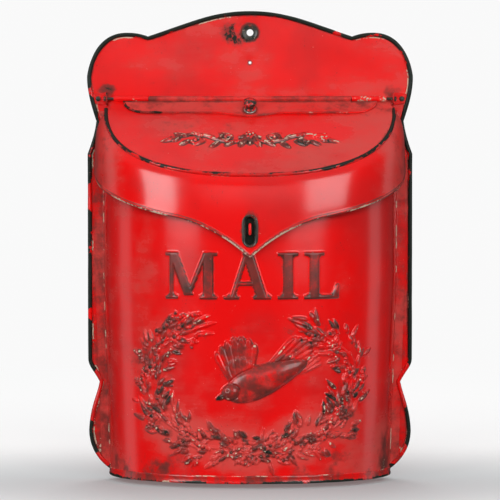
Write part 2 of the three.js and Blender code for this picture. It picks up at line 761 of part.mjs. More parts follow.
// Depth of the tongue's outer face at the hasp opening.
const TONGUE_FACE = -inBox(0, LID_REACH, -KNUCKLE_RADIUS + SHEET / 2).y + SKIRT_FRONT_OUT;

// Oval ring round the hasp opening, its lip on the front of the tongue.
function haspEyelet() {
  const opening = roundEnded(HASP_HALF_WIDTH, HASP_LOW, HASP_HIGH);
  const barrel = roundEnded(HASP_HALF_WIDTH + EYELET_WALL, HASP_LOW - EYELET_WALL, HASP_HIGH + EYELET_WALL);
  const lip = roundEnded(HASP_HALF_WIDTH + HASP_LIP, HASP_LOW - HASP_LIP / 2, HASP_HIGH + HASP_LIP / 2);
  const seat = TONGUE_FACE + GAP;
  const ring = solid(upright(barrel, TONGUE_FACE - SHEET - GAP, seat + INSET, [opening]));
  return ring.add(solid(upright(lip, seat, seat + HASP_LIP_THICKNESS, [opening])));
}

// ---- Padlock staple ---------------------------------------------------------------------------

const BACKING_FRONT = BODY_FRONT - SHEET - GAP;
const TAIL_DEPTH = BACKING_FRONT - BACKING_THICKNESS - GAP - STAPLE_WIRE;

// A wire loop standing on end: its two legs pass through the body's front and are bent over inside.
function haspStaple() {
  const outer = STAPLE_FRONT - STAPLE_WIRE;
  const corner = (depth, height, from, to) => {
    const points = [];
    for (let i = 0; i <= 5; i += 1) {
      const angle = from + ((to - from) * i) / 5;
      points.push(vec(depth + STAPLE_BEND * Math.cos(angle), height + STAPLE_BEND * Math.sin(angle)));
    }
    return points;
  };
  const quarter = Math.PI / 2;
  const upper = [
    vec(TAIL_DEPTH, STAPLE_HALF_SPAN + STAPLE_BEND + STAPLE_TAIL),
    ...corner(TAIL_DEPTH + STAPLE_BEND, STAPLE_HALF_SPAN + STAPLE_BEND, 2 * quarter, 3 * quarter),
    ...corner(outer - STAPLE_BEND, STAPLE_HALF_SPAN - STAPLE_BEND, quarter, 0),
  ];
  const lower = upper.map((p) => vec(p.x, -p.y)).reverse();
  const path = [...upper, ...lower].map((p) => new THREE.Vector3(0, -p.x, STAPLE_Z + p.y));
  return solid(bar(path, STAPLE_WIRE, new THREE.Vector3(1, 0, 0)));
}

// Stiffening plate inside the body that the staple's legs are bent over.
function stapleBacking() {
  const low = STAPLE_Z - BACKING_HALF_HEIGHT;
  const high = STAPLE_Z + BACKING_HALF_HEIGHT;
  const plate = [
    vec(-BACKING_HALF_WIDTH, low),
    vec(BACKING_HALF_WIDTH, low),
    vec(BACKING_HALF_WIDTH, high),
    vec(-BACKING_HALF_WIDTH, high),
  ];
  const holes = [-1, 1].map((side) => circle(0, STAPLE_Z + side * STAPLE_HALF_SPAN, STAPLE_WIRE + GAP));
  return solid(upright(plate, BACKING_FRONT - BACKING_THICKNESS, BACKING_FRONT, holes));
}

// ---- Assembly ---------------------------------------------------------------------------------

const mailbox = new THREE.Group();

const box = new THREE.Group();
box.add(piece('back_plate', backPlate(), redEnamel()));
box.add(piece('hanger_eyelet', hangerEyelet(), wornEnamel()));
box.add(piece('body_shell', bodyShell(), redEnamel()));
box.add(piece('bottom_plate', bottomPlate(), redEnamel()));
box.add(piece('hinge_ear_left', hingeEar(-1), redEnamel()));
box.add(piece('hinge_ear_right', hingeEar(1), redEnamel()));
box.add(piece('ear_rivet_left', earRivet(-1), wornEnamel()));
box.add(piece('ear_rivet_right', earRivet(1), wornEnamel()));
box.add(piece('hinge_rod', hingeRod(), wornEnamel()));
box.add(piece('hasp_staple', haspStaple(), redEnamel()));
box.add(piece('staple_backing_plate', stapleBacking(), bareSteel()));
mailbox.add(box);

const lid = new THREE.Group();
lid.add(piece('lid_skirt', lidSkirt(), redEnamel()));
lid.add(piece('hasp_eyelet', haspEyelet(), wornEnamel()));
mailbox.add(lid);

const slope = new THREE.Group();
slope.position.set(0, -HINGE_DEPTH, HINGE_Z);
slope.rotation.x = LID_SLOPE;
slope.add(piece('lid_top', lidTop(), redEnamel()));
slope.add(piece('letter_flap', letterFlap(), redEnamel()));
slope.add(piece('flap_knob', flapKnob(), wornEnamel()));
slope.add(piece('knob_washer', knobWasher(), bareSteel()));
slope.add(piece('knob_screw', knobScrew(), bareSteel()));
mailbox.add(slope);

export default mailbox;
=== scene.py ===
"""Looks of a wall-hung sheet-metal letter box with distressed red enamel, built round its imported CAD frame.

Work is done in millimetres in the box's own frame: +X to the right of a person facing the box, +Z up,
and the wall is y = 0, so a depth d in front of the wall lies at y = -d. Meshes are written in metres.
"""

import functools
import json
import math

import bmesh
import bpy
import numpy as np
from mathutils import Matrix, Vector
from mathutils.geometry import delaunay_2d_cdt


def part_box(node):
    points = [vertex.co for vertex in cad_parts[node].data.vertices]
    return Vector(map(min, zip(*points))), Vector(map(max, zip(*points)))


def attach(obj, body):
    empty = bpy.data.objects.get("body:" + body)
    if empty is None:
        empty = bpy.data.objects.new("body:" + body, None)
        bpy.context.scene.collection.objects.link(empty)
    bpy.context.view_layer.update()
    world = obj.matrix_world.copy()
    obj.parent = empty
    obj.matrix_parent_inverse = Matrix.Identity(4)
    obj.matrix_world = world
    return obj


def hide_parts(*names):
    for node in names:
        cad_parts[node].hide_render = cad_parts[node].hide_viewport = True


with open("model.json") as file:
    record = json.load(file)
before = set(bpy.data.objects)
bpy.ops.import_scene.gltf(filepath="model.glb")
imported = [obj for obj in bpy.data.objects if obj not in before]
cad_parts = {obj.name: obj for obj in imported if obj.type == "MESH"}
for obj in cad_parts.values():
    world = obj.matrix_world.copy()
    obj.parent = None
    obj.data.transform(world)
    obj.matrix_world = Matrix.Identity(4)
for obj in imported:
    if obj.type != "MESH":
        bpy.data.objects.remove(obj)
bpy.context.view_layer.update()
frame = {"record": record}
MM = 0.001


def cad(node):
    """Lowest and highest corner of a CAD node, in millimetres."""
    low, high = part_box(node)
    return np.array(low) / MM, np.array(high) / MM


# ---- Dimensions taken from the frame ---------------------------------------------------------

HINGE = np.array(frame["record"]["behaviour"]["joints"][0]["pos_m"]) / MM
HINGE_DEPTH, HINGE_Z = -HINGE[1], HINGE[2]
EYELET_Z = sum(c[2] for c in cad("hanger_eyelet")) / 2
RIVET_X = sum(c[0] for c in cad("ear_rivet_right")) / 2
HASP_LOW_Z, HASP_HIGH_Z = (c[2] for c in cad("hasp_eyelet"))
FLOOR_Z = cad("bottom_plate")[0][2]

# ---- Dimensions shared with the CAD design, in millimetres ------------------------------------

SHEET = 0.8
GAP = 0.3
ON_PLATE = SHEET + GAP  # depth of what sits on the back plate
PLATE_TOP, PLATE_SIDE = 195.0, 135.5
PILOT_Z = 152.0
RIM_RADIUS = 1.8
BODY_HALF, BODY_FRONT = 121.8, 86.5
FOOT_HALF, FOOT_FRONT = 116.5, 83.5
BODY_BOTTOM, TAPER_Z = -190.2, -30.0
BODY_POWER = 2.1
BODY_REAR = 3.1
FLANGE_WIDTH = 7.5
FLANGE_DEPTH = ON_PLATE + SHEET
BODY_TOP_DROP = 15.0
BAND_HEIGHT = 5.5
FLOOR_REAR_HALF = FOOT_HALF - 20
FLOOR_TAB = 9.0
LID_SLOPE = math.radians(36.3)
LID_HALF, LID_START, LID_REACH, LID_POWER = 119.5, 10.5, 100.0, 2.4
LID_LEVEL = -2.0  # middle of the lid's sheet, along its normal from the rod
LID_CORNER, LID_NOTCH = 117.0, 7.4
SLOT_HALF, SLOT_NEAR, SLOT_FAR, SLOT_CORNER, SLOT_BAY = 94.0, 4.6, 15.4, 4.0, 4.4
KNUCKLE, KNUCKLE_BORE = 2.4, 1.5
KNUCKLE_SPLIT, KNUCKLE_END = 84.0, 113.5
LID_KNUCKLE_START = KNUCKLE_SPLIT + 0.5
KNUCKLE_ROOM = KNUCKLE + 2 * GAP
ROD_RADIUS, ROD_HEAD, ROD_HEAD_LENGTH = 1.2, 2.1, 1.8
EAR_X, EAR_END_X, EAR_RADIUS, EAR_SHEET = 118.6, 130.6, 5.0, 1.2
KNOB_REACH = 14.8
TONGUE_OUT, SIDE_OUT = 4.6, 9.3
STAPLE_WIRE, STAPLE_BEND, STAPLE_HALF = 1.2, 1.8, 3.8


# ---- Plane geometry --------------------------------------------------------------------------

def superellipse(half, rear, front, power, angles):
    """Points of a D seen from above, as (x, depth); angles run from -pi/2 at the left to pi/2."""
    sine, cosine = np.sin(angles), np.clip(np.cos(angles), 0, None)
    across = np.sign(sine) * np.abs(sine) ** (2 / power)
    return np.stack([half * across, rear + (front - rear) * cosine ** (2 / power)], axis=1)


def turn(count):
    """Angles all the way round, evenly spaced."""
    return np.linspace(0, 2 * math.pi, count, endpoint=False)


def half_turn(count):
    """Angles from the left end of a D to its right end."""
    return np.linspace(-math.pi / 2, math.pi / 2, count)


def spot(x, depth, z):
    """Points in the box's frame, with their depth in front of the wall."""
    return np.stack(np.broadcast_arrays(x, -depth, z), axis=-1)


def lengths(points):
    steps = np.linalg.norm(np.diff(points, axis=0), axis=1)
    return np.concatenate([[0.0], np.cumsum(steps)])


def resample(points, at):
    """The points at given distances along a line."""
    along = lengths(points)
    return np.stack([np.interp(at, along, points[:, k]) for k in range(points.shape[1])], axis=1)


def evenly(points, count):
    return resample(points, np.linspace(0, lengths(points)[-1], count))


def rights(points, closed=False):
    """Unit vectors to the right of travel, lengthened at corners so that an offset keeps its distance."""
    if closed:
        into = points - np.roll(points, 1, axis=0)
        away = np.roll(points, -1, axis=0) - points
    else:
        steps = np.diff(points, axis=0)
        into = np.concatenate([steps[:1], steps])
        away = np.concatenate([steps, steps[-1:]])
    into = into / np.linalg.norm(into, axis=1, keepdims=True)
    away = away / np.linalg.norm(away, axis=1, keepdims=True)
    both = into + away
    right = np.stack([both[:, 1], -both[:, 0]], axis=1)
    right = right / np.linalg.norm(right, axis=1, keepdims=True)
    stretch = np.clip(right[:, 0] * into[:, 1] - right[:, 1] * into[:, 0], 0.5, None)
    return right / stretch[:, None]


def offset(points, distance, closed=False):
    return points + rights(points, closed) * distance


def bezier(start, curve, count):
    t = np.linspace(0, 1, count)[:, None]
    a, b, end = (np.array(p, float) for p in curve)
    return (1 - t) ** 3 * start + 3 * (1 - t) ** 2 * t * a + 3 * (1 - t) * t * t * b + t ** 3 * end


def inside(points, loop):
    """True for points inside a closed loop."""
    x, y = points[:, 0], points[:, 1]
    hit = np.zeros(len(points), bool)
    for a, b in zip(loop, np.roll(loop, -1, axis=0)):
        crosses = (a[1] > y) != (b[1] > y)
        slope = (b[0] - a[0]) / (b[1] - a[1] if b[1] != a[1] else 1e-12)
        hit ^= crosses & (x < a[0] + (y - a[1]) * slope)
    return hit


def on_sheet(points, outline, holes):
    """True for points inside an outline and outside its holes."""
    keep = inside(points, outline)
    for hole in holes:
        keep &= ~inside(points, hole)
    return keep


def distance_to(points, line, closed=False):
    """Distance from each point to the nearest stretch of a line."""
    ends = np.roll(line, -1, axis=0) if closed else line[1:]
    starts = line if closed else line[:-1]
    best = np.full(len(points), np.inf)
    for a, b in zip(starts, ends):
        edge = b - a
        span = max(float(edge @ edge), 1e-12)
        t = np.clip(((points - a) @ edge) / span, 0, 1)
        gap = points - a - t[:, None] * edge
        best = np.minimum(best, np.einsum("ij,ij->i", gap, gap))
    return np.sqrt(best)


def noise(x, y, scale, seed):
    """Smooth random values from -1 to 1, one bump about every scale."""
    table = np.random.RandomState(seed).uniform(-1, 1, (64, 64))
    u, v = np.asarray(x) / scale + 1000, np.asarray(y) / scale + 1000
    i, j = np.floor(u).astype(int), np.floor(v).astype(int)
    fu, fv = u - i, v - j
    fu, fv = fu * fu * (3 - 2 * fu), fv * fv * (3 - 2 * fv)
    pick = lambda a, b: table[a % 64, b % 64]
    low = pick(i, j) * (1 - fu) + pick(i + 1, j) * fu
    high = pick(i, j + 1) * (1 - fu) + pick(i + 1, j + 1) * fu
    return low * (1 - fv) + high * fv


def layered(x, y, scale, seed):
    """Noise in four sizes, each half as large as the one before."""
    return sum(noise(x, y, scale / 2 ** k, seed + k) / 1.7 ** k for k in range(4)) / 2.0


def smooth(low, high, value):
    """0 at low and 1 at high, smooth between; low may be the larger of the two."""
    t = np.clip((np.asarray(value, float) - low) / (high - low), 0, 1)
    return t * t * (3 - 2 * t)


def most(*values):
    """The largest of several masks, place by place."""
    return functools.reduce(np.maximum, values)


# ---- Meshes ----------------------------------------------------------------------------------

INNER_FACE = {"dark": 0.30, "worn": 0.10, "bare": 0.08, "haze": 0.45}


class Build:
    """Collects vertices, faces and painted masks of one piece."""

    MASKS = ("dark", "worn", "bare", "haze")

    def __init__(self):
        self.points, self.faces = [], []
        self.masks = {name: [] for name in self.MASKS}
        self.count = 0

    def add(self, points, faces, **masks):
        points = np.asarray(points, float).reshape(-1, 3)
        self.points.append(points)
        self.faces.extend([[i + self.count for i in f] for f in faces])
        for name in self.MASKS:
            value = np.broadcast_to(np.asarray(masks.get(name, 0.0), float), (len(points),))
            self.masks[name].append(value)
        self.count += len(points)

    def grid(self, rows, wrap=False, caps=True, **masks):
        """Quads over rows of points; wrap closes each row on itself, and caps fill its two ends."""
        rows = np.asarray(rows, float)
        n, m = rows.shape[:2]
        faces = []
        for r in range(n - 1):
            for c in range(m if wrap else m - 1):
                d = (c + 1) % m
                faces.append([r * m + c, r * m + d, (r + 1) * m + d, (r + 1) * m + c])
        if wrap and caps:
            faces.append([c for c in range(m)][::-1])
            faces.append([(n - 1) * m + c for c in range(m)])
        masks = {k: np.asarray(v, float).reshape(-1) if np.ndim(v) else v for k, v in masks.items()}
        self.add(rows.reshape(-1, 3), faces, **masks)

    def finish(self, name, body, nodes, material, sharp=40):
        mesh = bpy.data.meshes.new(name)
        mesh.from_pydata((np.concatenate(self.points) * MM).tolist(), [], self.faces)
        for mask, values in self.masks.items():
            layer = mesh.attributes.new(mask, "FLOAT", "POINT")
            layer.data.foreach_set("value", np.concatenate(values).astype(np.float32))
        mesh.validate()
        turn_outwards(mesh)
        mesh.shade_smooth()
        mesh.set_sharp_from_angle(angle=math.radians(sharp))
        piece = bpy.data.objects.new(name, mesh)
        bpy.context.scene.collection.objects.link(piece)
        mesh.materials.append(material)
        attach(piece, body)
        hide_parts(*nodes)
        return piece


def turn_outwards(mesh):
    work = bmesh.new()
    work.from_mesh(mesh)
    bmesh.ops.recalc_face_normals(work, faces=work.faces)
    work.to_mesh(mesh)
    work.free()


def filled(outline, holes, inner):
    """Triangles that fill an outline with holes, through the inner points. Returns points, triangles."""
    loops = [outline, *holes]
    inner = inner[on_sheet(inner, outline, holes)]
    for loop in loops:
        inner = inner[distance_to(inner, loop, closed=True) > 0.35]
    points = [Vector(p) for loop in loops for p in loop] + [Vector(p) for p in inner]
    edges, start = [], 0
    for loop in loops:
        n = len(loop)
        edges += [(start + i, start + (i + 1) % n) for i in range(n)]
        start += n
    verts, _, faces, *_ = delaunay_2d_cdt(points, edges, [], 1, 1e-5)
    verts = np.array([[v.x, v.y] for v in verts])
    faces = np.array([f for f in faces if len(f) == 3])
    return verts, faces[on_sheet(verts[faces].mean(axis=1), outline, holes)]


def lattice(low, high, step):
    """Places in rows over a rectangle, every second row shifted by half a step."""
    x = np.arange(low[0] + step / 2, high[0], step)
    y = np.arange(low[1] + step / 2, high[1], step)
    gx, gy = np.meshgrid(x, y)
    gx = gx + (np.arange(len(y)) % 2)[:, None] * step / 2
    return np.stack([gx.ravel(), gy.ravel()], axis=1)


def thick(build, points, triangles, outer, inner, **masks):
    """A sheet: triangles on its outer and inner face, and a wall round every free edge."""
    n = len(points)
    edges = {}
    for a, b, c in triangles:
        for e in ((a, b), (b, c), (c, a)):
            edges[e] = edges.get(e, 0) + 1
    free = [e for e in edges if (e[1], e[0]) not in edges]
    faces = [list(map(int, t)) for t in triangles]
    faces += [[int(c) + n, int(b) + n, int(a) + n] for a, b, c in triangles]
    faces += [[int(b), int(a), int(a) + n, int(b) + n] for a, b in free]
    doubled = {k: np.concatenate([np.broadcast_to(v, (n,))] * 2) for k, v in masks.items()}
    build.add(np.concatenate([outer, inner]), faces, **doubled)


def sheet(build, outline, holes, fine, coarse, outer, inner, paint):
    """A sheet whose outer face is finely meshed and painted and whose inner face is plain.

    outer and inner turn plane places into points, and paint gives the masks of plane places.
    """
    loops = [outline, *holes]
    rim = sum(len(loop) for loop in loops)
    fine_points, fine_faces = filled(outline, holes, fine)
    coarse_points, coarse_faces = filled(outline, holes, coarse)
    assert np.allclose(fine_points[:rim], coarse_points[:rim], atol=1e-3)
    n = len(fine_points)
    faces = fine_faces.tolist() + (coarse_faces[:, ::-1] + n).tolist()
    start = 0
    for loop in loops:
        ring = range(start, start + len(loop))
        for a, b in zip(ring, [*ring[1:], ring[0]]):
            faces.append([b, a, a + n, b + n])
        start += len(loop)
    masks = {
        name: np.concatenate([values, np.full(len(coarse_points), INNER_FACE[name])])
        for name, values in paint(fine_points).items()
    }
    build.add(np.concatenate([outer(fine_points), inner(coarse_points)]), faces, **masks)


def tube(build, path, radius, normal, sides=16, closed=False, rounded=False, **masks):
    """A round bar along a plane path; normal is the plane's, and radius may vary along the path."""
    path = np.asarray(path, float)
    radius = np.broadcast_to(np.asarray(radius, float), (len(path),)).copy()
    if rounded:
        radius[0] *= 0.55
        radius[-1] *= 0.55
    if closed:
        along = np.roll(path, -1, axis=0) - np.roll(path, 1, axis=0)
    else:
        along = np.gradient(path, axis=0)
    along /= np.linalg.norm(along, axis=1, keepdims=True)
    across = np.cross(along, normal)
    angle = turn(sides)[None, :, None]
    ring = across[:, None] * np.cos(angle) + np.asarray(normal, float) * np.sin(angle)
    rows = path[:, None] + ring * radius[:, None, None]
    spread = {}
    for key, value in masks.items():
        value = np.asarray(value, float)
        value = value if value.ndim == 2 else np.broadcast_to(value, (len(path),))[:, None]
        spread[key] = np.broadcast_to(value, (len(path), sides))
    if closed:
        rows = np.concatenate([rows, rows[:1]])
        spread = {k: np.concatenate([v, v[:1]]) for k, v in spread.items()}
    build.grid(rows, wrap=True, caps=not closed, **spread)


def lathe(build, profile, place, sides=48, caps=True, **masks):
    """Turns (radius, height) points about a local Z; place maps local points into the box's frame."""
    angle = turn(sides)
    radius, height = np.asarray(profile, float).T[..., None]
    rows = np.stack(np.broadcast_arrays(radius * np.cos(angle), radius * np.sin(angle), height), axis=2)
    build.grid(place(rows.reshape(-1, 3)).reshape(rows.shape), wrap=True, caps=caps, **masks)


def rounded_profile(points, radius, steps=4):
    """A profile with each corner between its ends cut to a small arc."""
    points = np.asarray(points, float)
    result = [points[0]]
    for before, corner, after in zip(points[:-2], points[1:-1], points[2:]):
        into, away = corner - before, after - corner
        reach = min(radius, np.linalg.norm(into) / 2.2, np.linalg.norm(away) / 2.2)
        start = corner - into / np.linalg.norm(into) * reach
        end = corner + away / np.linalg.norm(away) * reach
        for t in np.linspace(0, 1, steps):
            result.append((1 - t) ** 2 * start + 2 * (1 - t) * t * corner + t * t * end)
    result.append(points[-1])
    return np.array(result)


def turned_piece(name, body, node, material, profile, corner, place, sides,
                 steps=4, base=0.0, bored=False, sharp=40):
    """A piece turned from (radius, height) points; a bored one has a profile closed on itself."""
    profile = rounded_profile(profile, corner, steps) + [0, base]
    if bored:
        profile = np.concatenate([profile, profile[:1]])
    build = Build()
    lathe(build, profile, place, sides, caps=not bored)
    build.finish(name, body, [node], material, sharp)


# ---- Pressed relief --------------------------------------------------------------------------

def along_and_aside(x, y, angle):
    """Coordinates along a direction and to the left of it."""
    c, s = math.cos(angle), math.sin(angle)
    return x * c + y * s, y * c - x * s


class Relief:
    """Heights pressed into a flat sheet, on a fine raster of (x, y) places in millimetres."""

    STEP = 0.4

    def __init__(self, low, high):
        self.low = np.array(low, float)
        self.size = np.ceil((np.array(high) - self.low) / self.STEP).astype(int) + 1
        self.h = np.zeros((self.size[1], self.size[0]))
        self.tone = np.zeros_like(self.h)
        self.face = np.zeros_like(self.h)

    def near(self, x, y, reach):
        """The part of the raster within reach of a place, and its coordinates from that place."""
        i0, j0 = np.floor((np.array([x, y]) - reach - self.low) / self.STEP).astype(int)
        i1, j1 = np.ceil((np.array([x, y]) + reach - self.low) / self.STEP).astype(int)
        i0, j0 = max(i0, 0), max(j0, 0)
        i1, j1 = min(i1, self.size[0]), min(j1, self.size[1])
        gx = self.low[0] + np.arange(i0, i1) * self.STEP - x
        gy = self.low[1] + np.arange(j0, j1) * self.STEP - y
        return (slice(j0, j1), slice(i0, i1)), *np.meshgrid(gx, gy)

    def press(self, window, heights, moat=None, tone=0.0):
        """Raises the sheet to these heights, after sinking what is under the moat."""
        h = self.h[window]
        if moat is not None:
            h = h * (1 - 0.6 * moat)
        wins = heights > h
        self.h[window] = np.maximum(h, heights)
        self.tone[window] = np.where(wins, tone, self.tone[window])

    def leaf(self, x, y, angle, length, width, height, curl=0.0, tone=0.0):
        window, gx, gy = self.near(x, y, length * 1.15)
        u, v = along_and_aside(gx, gy, angle)
        t = np.clip(u / length, 0, 1)
        v = v - curl * length * t * t
        half = width / 2 * np.sin(math.pi * t ** 0.75) ** 0.7 + 1e-6
        side = np.abs(v) / half
        dome = np.sqrt(np.clip(1 - side ** 2.5, 0, 1))
        vein = 0.28 * np.exp(-((v / (0.10 * width)) ** 2)) * smooth(0.05, 0.2, t) * smooth(0.95, 0.7, t)
        on = (u > 0) & (u < length)
        shape = height * dome * (1 - vein) * (0.55 + 0.45 * np.sin(math.pi * t ** 0.6))
        moat = on * smooth(0.9, 1.0, side) * smooth(half + 0.9, half + 0.3, np.abs(v))
        self.press(window, np.where(on, shape, 0), moat, tone)

    def berry(self, x, y, radius, height, tone=0.0):
        window, gx, gy = self.near(x, y, radius + 1)
        gap = np.hypot(gx, gy)
        dome = np.sqrt(np.clip(1 - (gap / radius) ** 2, 0, 1))
        self.press(window, height * dome, smooth(radius + 0.8, radius + 0.2, gap), tone)

    def flower(self, x, y, radius, height, petals, first, tone=0.0):
        for k in range(petals):
            angle = first + 2 * math.pi * k / petals
            foot = (x + 0.18 * radius * math.cos(angle), y + 0.18 * radius * math.sin(angle))
            self.leaf(*foot, angle, radius, radius * 0.8, height, tone=tone)
        self.berry(x, y, radius * 0.3, height * 1.3, 0.9)

    def stem(self, points, radius, height, tone=0.3):
        points = np.asarray(points, float)
        middle = (points.min(axis=0) + points.max(axis=0)) / 2
        reach = np.abs(points - middle).max() + radius
        window, gx, gy = self.near(*middle, reach)
        flat = np.stack([gx.ravel(), gy.ravel()], axis=1) + middle
        gap = distance_to(flat, points).reshape(gx.shape)
        self.press(window, height * np.sqrt(np.clip(1 - (gap / radius) ** 2, 0, 1)), tone=tone)

    def mound(self, x, y, angle, length, width, height, power=0.5, tone=0.0, taper=0.0):
        """An elliptic dome; taper narrows it along its length."""
        window, gx, gy = self.near(x, y, length)
        u, v = along_and_aside(gx, gy, angle)
        u, v = u / (length / 2), v / (width / 2)
        v = v / (1 - taper * np.clip(u, -1, 1))
        within = np.clip(1 - u * u - v * v, 0, 1)
        self.press(window, height * within ** power, (within > 0) * 0.9, tone)

    def fan(self, x, y, start, end, root, radius, feathers, height, tone=0.0):
        """A wing: feathers side by side between two angles, round at their tips, with grooves between."""
        window, gx, gy = self.near(x, y, radius * 1.1)
        away = np.hypot(gx, gy)
        u, v = along_and_aside(gx, gy, (start + end) / 2)
        spread = abs(start - end)
        share = 0.5 + np.arctan2(v, u) / spread
        phase = share * feathers % 1.0
        rounding = np.sqrt(np.clip(np.sin(math.pi * phase), 0, 1))
        longest = radius * (0.84 + 0.16 * np.sin(math.pi * np.clip(share, 0, 1) ** 0.8))
        tip = longest * (0.90 + 0.10 * rounding)
        on = (share > 0) & (share < 1) & (away < tip) & (away > root)
        border = np.minimum(share, 1 - share) * spread * away
        edge = np.clip((tip - away) / 1.0, 0, 1) * np.clip(border / 1.0, 0, 1)
        from_groove = np.minimum(phase, 1 - phase) * away * spread / feathers
        groove = 1 - 0.28 * np.exp(-((from_groove / 0.55) ** 2))
        shape = height * np.sqrt(edge) * groove * (0.78 + 0.22 * (away - root) / (radius - root))
        self.press(window, np.where(on, shape, 0), tone=tone)

    def plateau(self, polygons, height, wall):
        """Convex polygons joined into one flat-topped shape with sloping walls."""
        every = np.concatenate([np.asarray(p, float) for p in polygons])
        middle = (every.min(axis=0) + every.max(axis=0)) / 2
        window, gx, gy = self.near(*middle, np.abs(every - middle).max() + 2)
        gx, gy = gx + middle[0], gy + middle[1]
        depth = np.full(gx.shape, -9.0)
        for polygon in polygons:
            polygon = np.asarray(polygon, float)
            x, y = polygon.T
            if np.sum(x * np.roll(y, -1) - y * np.roll(x, -1)) < 0:
                polygon = polygon[::-1]
            gap = np.full(gx.shape, 9.0)
            for a, b in zip(polygon, np.roll(polygon, -1, axis=0)):
                normal = np.array([a[1] - b[1], b[0] - a[0]]) / np.linalg.norm(b - a)
                gap = np.minimum(gap, (gx - a[0]) * normal[0] + (gy - a[1]) * normal[1])
            depth = np.maximum(depth, gap)
        self.press(window, height * smooth(-wall * 0.4, wall * 0.6, depth))
        self.face[window] = np.maximum(self.face[window], smooth(-0.3, 0.4, depth))

    def blurred(self, values, reach):
        """A box blur, run twice, of about that reach in millimetres."""
        n = max(1, int(round(reach / self.STEP)))
        for axis in (0, 1, 0, 1):
            pad = [(n + 1, n) if k == axis else (0, 0) for k in range(2)]
            total = np.cumsum(np.pad(values, pad, mode="edge"), axis=axis)
            width = 2 * n + 1
            upper = np.take(total, range(width, total.shape[axis]), axis=axis)
            lower = np.take(total, range(0, total.shape[axis] - width), axis=axis)
            values = (upper - lower) / width
        return values

    def settle(self):
        """Softens the relief a little, as enamel does, and works out its hollows and high places."""
        spread = self.h
        for axis in (0, 1):
            spread = (np.roll(spread, 1, axis) + 2 * spread + np.roll(spread, -1, axis)) / 4
        self.h = spread
        wide = self.blurred(self.h, 1.2)
        self.hollow = np.clip((wide - self.h) * 1.7, 0, 1)
        self.high = np.clip((self.h - wide) * 1.7, 0, 1)
        slope = np.hypot(*np.gradient(self.h, self.STEP))
        self.busy = self.blurred((slope > 0.04).astype(float), 0.8)

    def places(self, spacing):
        """A lattice of places where the relief is busy."""
        high = self.low + self.size * self.STEP
        every = lattice(self.low, high, spacing)
        return every[self.sample(self.busy, every[:, 0], every[:, 1]) > 0.05]

    def masks(self, x, y):
        """Lift, hollows, high places and dark glaze at any places."""
        lift, hollow, high, tone = (self.sample(v, x, y) for v in (self.h, self.hollow, self.high, self.tone))
        return lift, hollow, high, tone * (lift > 0.25)

    def sample(self, values, x, y):
        """Values at any places, zero outside the raster."""
        u = (np.asarray(x, float) - self.low[0]) / self.STEP
        v = (np.asarray(y, float) - self.low[1]) / self.STEP
        off = (u < 0) | (v < 0) | (u > self.size[0] - 1.001) | (v > self.size[1] - 1.001)
        u, v = np.clip(u, 0, self.size[0] - 1.001), np.clip(v, 0, self.size[1] - 1.001)
        i, j = u.astype(int), v.astype(int)
        fu, fv = u - i, v - j
        low = values[j, i] * (1 - fu) + values[j, i + 1] * fu
        high = values[j + 1, i] * (1 - fu) + values[j + 1, i + 1] * fu
        return np.where(off, 0, low * (1 - fv) + high * fv)


def box_of(x0, y0, x1, y1):
    return [(x0, y0), (x1, y0), (x1, y1), (x0, y1)]


def stroke(x0, y0, x1, y1, width):
    """A slanting stroke with level ends."""
    return [(x0 - width / 2, y0), (x0 + width / 2, y0), (x1 + width / 2, y1), (x1 - width / 2, y1)]


def serif(x0, x1, y, up, stem0, stem1):
    """A slab serif with bracketed corners, standing up from or hanging down to a line."""
    edge = y + 2.6 * up
    corner = edge + 2.2 * up
    return [
        box_of(x0, min(y, edge), x1, max(y, edge)),
        [(stem0 - 2.4, edge), (stem0, edge), (stem0, corner)],
        [(stem1, edge), (stem1 + 2.4, edge), (stem1, corner)],
    ]


def word_mail(relief, centre, base, height):
    """The generic word MAIL in raised serif capitals, 5 mm apart."""
    top, gap = base + height, 5.0
    column = [stroke(8.5, base, 8.5, top, 8.2)]
    column += serif(0, 17, base, 1, 4.4, 12.6) + serif(0, 17, top, -1, 4.4, 12.6)
    m = [stroke(5.5, base, 5.5, top, 3.4), stroke(36.5, base, 36.5, top, 8.2)]
    m += [stroke(20.2, base + 3, 7.0, top, 8.0), stroke(20.2, base + 3, 34.5, top, 3.4)]
    m += serif(0, 11, base, 1, 3.8, 7.2) + serif(29, 44, base, 1, 32.4, 40.6)
    m += [box_of(0, top - 2.6, 10, top), box_of(33, top - 2.6, 44, top)]
    a = [stroke(7.0, base, 19.0, top, 3.6), stroke(31.5, base, 19.5, top, 8.6)]
    a += [box_of(10, base + 11, 27, base + 14)]
    a += serif(0, 13, base, 1, 5.2, 8.8) + serif(24, 39, base, 1, 27.2, 35.8)
    arm = [(30, base), (30, base + 12), (27.6, base + 12), (24, base + 3.2), (24, base)]
    letters = [(m, 44), (a, 39), (column, 17), (column + [box_of(12, base, 30, base + 3.2), arm], 30)]
    x = centre - (sum(width for _, width in letters) + gap * (len(letters) - 1)) / 2
    for shapes, width in letters:
        relief.plateau([[(px + x, py) for px, py in shape] for shape in shapes], 1.7, 1.1)
        x += width + gap


def any_tone(random):
    """How much dark glaze sits on one pressed leaf: about a quarter are dark and a third nearly clean."""
    pick = random.uniform()
    return 0.92 if pick < 0.26 else 0.6 if pick < 0.66 else 0.2


